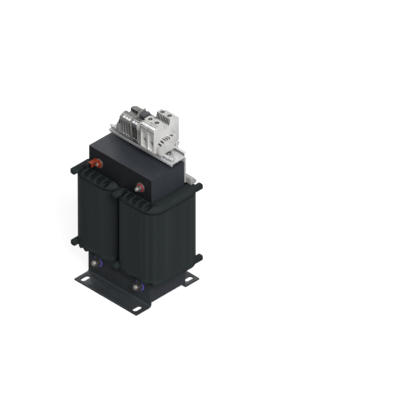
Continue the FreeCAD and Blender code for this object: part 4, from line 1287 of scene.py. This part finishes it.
@dataclass(frozen=True)
class Hollows:
    """Where a housing's wells and recesses lie, so that their faces can be told from the outer ones and given
    painted shade or painted light.

    Heights are above the rail's top, depths from the housing's centre line.
    """

    centre: Vector
    rail_top: float
    well_offsets: Tuple[float, ...]
    well_radius: float
    well_floor: float
    recess_half: float = 0.0
    recess_from: float = 0.0
    recess_to: float = 0.0
    recess_top: float = 0.0
    slack: float = 0.1 * MM
    steep: float = 0.5
    level: float = 0.7

    def well(self, face: Face) -> bool:
        """Whether a face is the wall of a screw well.

        Args:
            face: The face.

        Returns:
            True for an upright face on a well's radius.
        """
        middle = face.calc_center_median()
        if abs(face.normal.z) > self.steep or middle.z < self.rail_top + self.well_floor:
            return False
        near = [math.hypot(middle.x - self.centre.x, middle.y - self.centre.y - y) for y in self.well_offsets]
        return min(near) < self.well_radius + self.slack

    def recess(self, face: Face) -> bool:
        """Whether a face lies inside one of the two wire recesses.

        Args:
            face: The face.

        Returns:
            True for a face between the recess's sides, mouth and end.
        """
        middle = face.calc_center_median()
        depth = abs(middle.y - self.centre.y)
        across = abs(middle.x - self.centre.x) < self.recess_half + self.slack
        along = self.recess_from - self.slack < depth < self.recess_to - self.slack
        return across and along and middle.z < self.rail_top + self.recess_top + self.slack

    def recess_floor(self, face: Face) -> bool:
        """Whether a face is the lower end of a wire recess, which gets painted light."""
        return face.normal.z > self.level and self.recess(face)


@dataclass(frozen=True)
class RibRow:
    """A row of like bars along the strip: Y and Z of their middles, and a bar's width, depth and height."""

    name: str
    first: str
    last: str
    finish: Finish
    place: Pair
    size: Tuple[float, float, float]
    pitch: float
    lean: float = 0.0


@dataclass
class TerminalStrip:
    """The terminals, plates, plugs, tags and end clamps along the rail."""

    shop: Workshop
    small_count: int = 4
    pair_count: int = 2
    mould_round: float = 0.3 * MM
    tag_round: float = 0.15 * MM
    screw_round: float = 0.12 * MM
    small_joint: Pair = (0.5 * MM, 0.5)
    large_joint: Pair = (0.8 * MM, 0.3)
    wall_turn: float = 0.6
    hook_drop: float = 4.4 * MM
    small_half_depth: float = 21.4 * MM
    small_well_offset: float = 9.3 * MM
    small_well_radius: float = 2.0 * MM
    small_well_floor: float = 34 * MM
    recess_half: float = 1.9 * MM
    recess_from: float = 16.4 * MM
    recess_top: float = 31 * MM
    small_trough_half: float = 5.7 * MM
    small_trough_bottom: float = 34.5 * MM
    large_well_offset: float = 14.9 * MM
    large_well_radius: float = 4.2 * MM
    large_well_floor: float = 40 * MM
    trough_from: float = 6.3 * MM
    trough_to: float = 9.4 * MM
    trough_depth: float = 13.5 * MM
    rib_pitch: float = 3.6 * MM
    rib_width: float = 1.5 * MM
    rib_depth: float = 1.0 * MM
    rib_share: float = 0.72
    grip_drop: float = 12.0 * MM
    grip_height: float = 5.5 * MM
    grip_width: float = 1.3 * MM
    grip_stand: float = 0.3 * MM
    grip_pitch: float = 2.3 * MM
    fit_slack: float = 0.2
    bevel_part: int = 5
    tag_edge: float = 0.5 * MM
    large_line_share: float = 0.9
    small_line_share: float = 0.8
    ridge_back: float = 1.9 * MM
    ridge_rise: float = 0.7 * MM
    ridge_size: float = 1.1 * MM
    ridge_depth: float = 2.0 * MM
    ridge_share: float = 0.88
    ridge_lean: float = math.radians(29.0)
    clamp_brow: float = 22.0 * MM
    tooth_pitch: float = 5.0 * MM
    tooth_gap: float = 2.65 * MM
    tooth_count: int = 5
    tooth_floor: float = 15 * MM
    tooth_turn: float = 0.5
    stop_well_offset: float = 8.0 * MM
    stop_well_radius: float = 3.0 * MM
    stop_well_floor: float = 14.5 * MM

    def in_row(self, finish: MouldedPlastic, kind: str, joint: Pair) -> MouldedPlastic:
        """A finish that darkens at the joints of a row of like housings.

        Args:
            finish: The housings' own finish.
            kind: Their nodes' name without the number.
            joint: How far the darkening reaches from a joint, and what is left of the tone in it.

        Returns:
            The finish for the row.
        """
        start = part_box(kind + "_1")[0].x
        return replace(finish, name=f"{finish.name}_{kind}_1", seam_start=start, seam_half=joint[0],
                       seam_depth=joint[1], seam_pitch=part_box(kind + "_2")[0].x - start)

    def dress_small(self, node: str, finish: Finish, inside: Finish) -> None:
        """Dress a small terminal, with painted shade in its wells, recesses and trough, and painted light on
        the floors at the recesses' feet.

        Args:
            node: The terminal's node.
            finish: Its finish.
            inside: Finish of its recesses, a copy of its colour painted for the light in them.
        """
        low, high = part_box(node)
        centre = Vector(((low.x + high.x) / 2, low.y + self.small_half_depth, 0.0))
        rail_top = low.z + self.hook_drop
        hollows = Hollows(centre, rail_top, (-self.small_well_offset, self.small_well_offset),
                          self.small_well_radius, self.small_well_floor, self.recess_half, self.recess_from,
                          self.small_half_depth, self.recess_top)
        trough = wall_test(centre.y, (0.0, self.small_trough_half),
                           (rail_top + self.small_trough_bottom, math.inf), self.wall_turn)
        # Painted light on recess floors, painted recess tones, and painted shade on trough walls and well
        # walls
        marks = ((hollows.recess_floor, RECESS_FLOOR_PAINTED_LIGHT), (hollows.recess, inside), (trough, HOLLOW_PAINTED_SHADE),
                 (hollows.well, WELL_PAINTED_SHADE))
        self.shop.ease(finish, self.mould_round, node, marks=marks)

    def dress_large(self, node: str, finish: Finish) -> None:
        """Dress a large terminal, with painted shade on its wells' walls and on both walls of its trough.

        Args:
            node: The terminal's node.
            finish: Its finish.
        """
        low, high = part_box(node)
        centre = Vector(((low.x + high.x) / 2, (low.y + high.y) / 2, 0.0))
        hollows = Hollows(centre, low.z + self.hook_drop, (-self.large_well_offset, self.large_well_offset),
                          self.large_well_radius, self.large_well_floor)
        trough = wall_test(centre.y, (self.trough_from, self.trough_to),
                           (high.z - self.trough_depth, math.inf), self.wall_turn)
        # Trough walls and well walls get painted shade
        self.shop.ease(finish, self.mould_round, node, marks=((trough, TROUGH_PAINTED_SHADE), (hollows.well, WELL_PAINTED_SHADE)))

    def dress_stop(self, node: str, finish: Finish) -> None:
        """Dress an end clamp, with painted shade in its tooth gaps and on its well's walls.

        Args:
            node: The clamp's node.
            finish: Its finish.
        """
        low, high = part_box(node)
        rail_low, rail_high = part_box("mounting_rail")
        centre = Vector(((low.x + high.x) / 2, (rail_low.y + rail_high.y) / 2, 0.0))
        hollows = Hollows(centre, rail_high.z, (self.stop_well_offset,), self.stop_well_radius,
                          self.stop_well_floor)

        def gap(face: Face) -> bool:
            """Whether a face lies in one of the gaps between the teeth.

            Args:
                face: The face.

            Returns:
                True if so.
            """
            middle = face.calc_center_median()
            from_brow = middle.y - centre.y + self.clamp_brow
            number = math.floor(from_brow / self.tooth_pitch)
            within = from_brow - number * self.tooth_pitch < self.tooth_gap
            toothed = 0 <= number < self.tooth_count and middle.z > rail_high.z + self.tooth_floor
            return within and toothed and abs(face.normal.x) < self.tooth_turn

        # Tooth gaps and well walls get painted shade
        self.shop.ease(finish, self.mould_round, node, marks=((gap, HOLLOW_PAINTED_SHADE), (hollows.well, WELL_PAINTED_SHADE)))

    def build_row(self, row: RibRow) -> None:
        """Set one row of bars.

        Args:
            row: The row.
        """
        start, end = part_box(row.first)[0].x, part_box(row.last)[1].x
        count = max(1, math.floor((end - start) / row.pitch + self.fit_slack))
        first = (start + end - row.pitch * (count - 1)) / 2
        places = [Vector((first + row.pitch * step, *row.place)) for step in range(count)]
        shape = bar(row.size, min(row.size) / self.bevel_part)
        bars = self.shop.repeat(row.name, shape, places, row.finish, (row.lean, 0.0, 0.0))
        self.shop.hang(bars, row.first)

    def build_large_rows(self) -> None:
        """Ribs in painted shade in the large terminals' trough, grips under their brows, and lines of painted
        shadow along their tags.
        """
        low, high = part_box("large_terminal_1")
        middle = (low.y + high.y) / 2
        lean = math.atan2(self.trough_to - self.trough_from, self.trough_depth)
        ends = ("large_terminal_1", f"large_terminal_{self.pair_count}")
        for side, name, face in ((1, "rear", high.y), (-1, "front", low.y)):
            wall = middle + side * (self.trough_from + self.trough_to) / 2
            rib = (self.rib_width, self.rib_depth, self.trough_depth * self.rib_share)
            grip = (self.grip_width, self.grip_stand * 2, self.grip_height)
            rib_place = (wall, high.z - self.trough_depth / 2)
            grip_place = (face, high.z - self.grip_drop)
            # Trough ribs in painted shade
            self.build_row(RibRow(f"trough_ribs_{name}", *ends, HOLLOW_PAINTED_SHADE, rib_place, rib, self.rib_pitch,
                                  -side * lean))
            self.build_row(RibRow(f"grip_ribs_{name}", *ends, GREY, grip_place, grip, self.grip_pitch))
        tag_low, tag_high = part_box("large_marker_tags")
        edge = self.tag_edge
        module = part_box("large_terminal_2")[0].x - low.x
        line = (module * self.large_line_share, edge * 2, edge)
        for name, place in (("lower", (tag_low.y - edge, tag_low.z - edge / 2)),
                            ("upper", (tag_high.y + edge, tag_high.z))):
            # Lines of painted shadow along the tags
            self.build_row(RibRow(f"large_tag_{name}_lines", *ends, WELL_PAINTED_SHADE, place, line, module))

    def build_small_rows(self) -> None:
        """Ridges painted pale as a highlight on the small terminals' shoulders, and lines of painted shadow
        along their tags.
        """
        low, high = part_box("small_marker_tags")
        edge = self.tag_edge
        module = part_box("small_terminal_2")[0].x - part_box("small_terminal_1")[0].x
        for group, last in (("small", self.small_count), ("fuse", self.pair_count)):
            ends = (f"{group}_terminal_1", f"{group}_terminal_{last}")
            self.build_row(RibRow(f"{group}_shoulder_ridges", *ends, RIDGE_PAINTED_HIGHLIGHT,
                                  (high.y + self.ridge_back, high.z + self.ridge_rise),
                                  (module * self.ridge_share, self.ridge_depth, self.ridge_size), module,
                                  self.ridge_lean))
            # Dark bars of painted shadow under the tags
            self.build_row(RibRow(f"{group}_tag_lines", *ends, HOLLOW_PAINTED_SHADE, (low.y - edge / 2, low.z - edge),
                                  (module * self.small_line_share, edge, edge * 2), module))

    def build(self) -> None:
        """Dress the strip from left to right, then its rows of bars and its small parts."""
        small = self.in_row(GREY, "small_terminal", self.small_joint)
        fuse = self.in_row(DARK, "fuse_terminal", self.small_joint)
        large = self.in_row(LIGHT, "large_terminal", self.large_joint)
        for number in range(1, self.small_count + 1):
            self.dress_small(f"small_terminal_{number}", small, GREY_RECESS_PAINTED_LIGHT)
        for number in range(1, self.pair_count + 1):
            self.dress_small(f"fuse_terminal_{number}", fuse, DARK_RECESS_PAINTED_SHADE)
            self.dress_large(f"large_terminal_{number}", large)
        self.dress_small("light_terminal", LIGHT, LIGHT_RECESS_PAINTED_SHADE)
        self.build_large_rows()
        self.build_small_rows()
        for node, finish in (("left_end_clamp", GREY), ("middle_end_clamp", STOP), ("right_end_clamp", STOP)):
            self.dress_stop(node, finish)
        self.shop.ease(GREY, self.mould_round, "cover_plate")
        self.shop.ease(OLIVE, self.mould_round, "partition_plate")
        self.shop.ease(PLUG, self.mould_round, "fuse_plug_1", "fuse_plug_2")
        self.shop.ease(BLOCK, self.mould_round, "contact_block")
        self.shop.ease(WHITE, self.tag_round, "small_marker_tags", "large_marker_tags")
        self.shop.ease(CLAMP, self.screw_round, "small_clamp_screws", "large_clamp_screws",
                       "end_clamp_screws", "contact_block_screw")
        self.shop.ease(NUT, self.screw_round, "rail_screws")
        self.shop.coat(CLAMP, "small_clamp_cages", "large_clamp_cages")
        self.shop.coat(BRASS, "small_current_bars", "large_current_bars")


@dataclass(frozen=True)
class Lamp:
    """A broad soft lamp: its direction from the object, its strength and its apparent size in degrees."""

    name: str
    towards: Tuple[float, float, float]
    strength: float
    softness: float

    def build(self) -> None:
        """Hang the lamp."""
        lamp = bpy.data.lights.new(self.name, "SUN")
        lamp.energy = self.strength
        lamp.angle = math.radians(self.softness)
        placed(self.name, lamp).rotation_euler = Vector(self.towards).to_track_quat("Z", "Y").to_euler()


@dataclass
class Stage:
    """Floor, light and camera, which has the target in the middle of its frame."""

    target: Tuple[float, float, float] = (39.5 * MM, 136.4 * MM, 96.8 * MM)
    frame_width: float = 0.7144
    azimuth: float = math.radians(45.0)
    elevation: float = math.atan(1 / math.sqrt(2))
    lens: float = 1600.0
    sensor: float = 36.0
    clip: Pair = (0.05, 3.0)
    floor_half: float = 30.0
    floor_tone: float = 0.32
    floor_glow: float = 0.82
    sky: float = 0.30
    lamps: Tuple[Lamp, ...] = (Lamp("key", (0.68, -0.30, 0.67), 3.0, 30.0),
                               Lamp("fill", (-0.65, 0.55, 0.50), 0.5, 60.0))

    def build_world(self) -> None:
        """White to the camera and to gloss, softer as a light."""
        world = bpy.data.worlds.new("studio")
        bpy.context.scene.world = world
        world.use_nodes = True
        tree = NodeTree(world.node_tree)
        path = tree.add("ShaderNodeLightPath").node.outputs
        seen = tree.reckon("MAXIMUM", path["Is Camera Ray"], path["Is Glossy Ray"])
        white = tree.reckon("MAXIMUM", seen, path["Is Transmission Ray"])
        level = tree.add("ShaderNodeMapRange", {"Value": white, "To Min": self.sky, "To Max": 1.0})
        light = tree.add("ShaderNodeBackground", {"Color": (1.0, 1.0, 1.0, 1.0), "Strength": level})
        tree.add("ShaderNodeOutputWorld", {"Surface": light})

    def build_floor(self) -> None:
        """A pale floor that takes the object's shadow."""
        half = self.floor_half
        mesh = bpy.data.meshes.new("floor")
        corners = [(-half, -half, 0), (half, -half, 0), (half, half, 0), (-half, half, 0)]
        mesh.from_pydata(corners, [], [(0, 1, 2, 3)])
        floor = placed("floor", mesh)
        material = bpy.data.materials.new("pale_floor")
        material.use_nodes = True
        tree = NodeTree(material.node_tree)
        matt = tree.add("ShaderNodeBsdfDiffuse", {"Color": (self.floor_tone,) * 3 + (1.0,)})
        seen = tree.add("ShaderNodeLightPath", output="Is Camera Ray")
        glow = tree.add("ShaderNodeEmission", {"Strength": tree.reckon("MULTIPLY", seen, self.floor_glow)})
        tree.add("ShaderNodeOutputMaterial", {"Surface": tree.add("ShaderNodeAddShader", {0: matt, 1: glow})})
        mesh.materials.append(material)

    def build_camera(self) -> None:
        """A very long lens, so that parallel edges stay parallel as in the photograph."""
        data = bpy.data.cameras.new("camera")
        data.lens = self.lens
        data.sensor_width = self.sensor
        distance = self.frame_width / self.sensor * self.lens
        data.clip_start, data.clip_end = (distance * share for share in self.clip)
        level = math.cos(self.elevation)
        back = Vector((math.sin(self.azimuth) * level, -math.cos(self.azimuth) * level,
                       math.sin(self.elevation)))
        camera = placed("camera", data)
        camera.location = Vector(self.target) + back * distance
        camera.rotation_mode = "QUATERNION"
        camera.rotation_quaternion = (-back).to_track_quat("-Z", "Y")
        bpy.context.scene.camera = camera

    def build(self) -> None:
        """Build it all."""
        bpy.context.scene.view_settings.view_transform = "Standard"
        self.build_world()
        self.build_floor()
        for lamp in self.lamps:
            lamp.build()
        self.build_camera()


def main() -> None:
    """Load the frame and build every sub-assembly around it."""
    logging.basicConfig(level=logging.INFO, format="%(name)s %(message)s")
    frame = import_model()
    shop = Workshop(frame)
    Core(shop).build()
    Coil(shop, "left").build()
    Coil(shop, "right").build()
    Fasteners(shop).build()
    Ironwork(shop).build()
    TerminalStrip(shop).build()
    Stage().build()


if __name__ == "__main__":
    main()
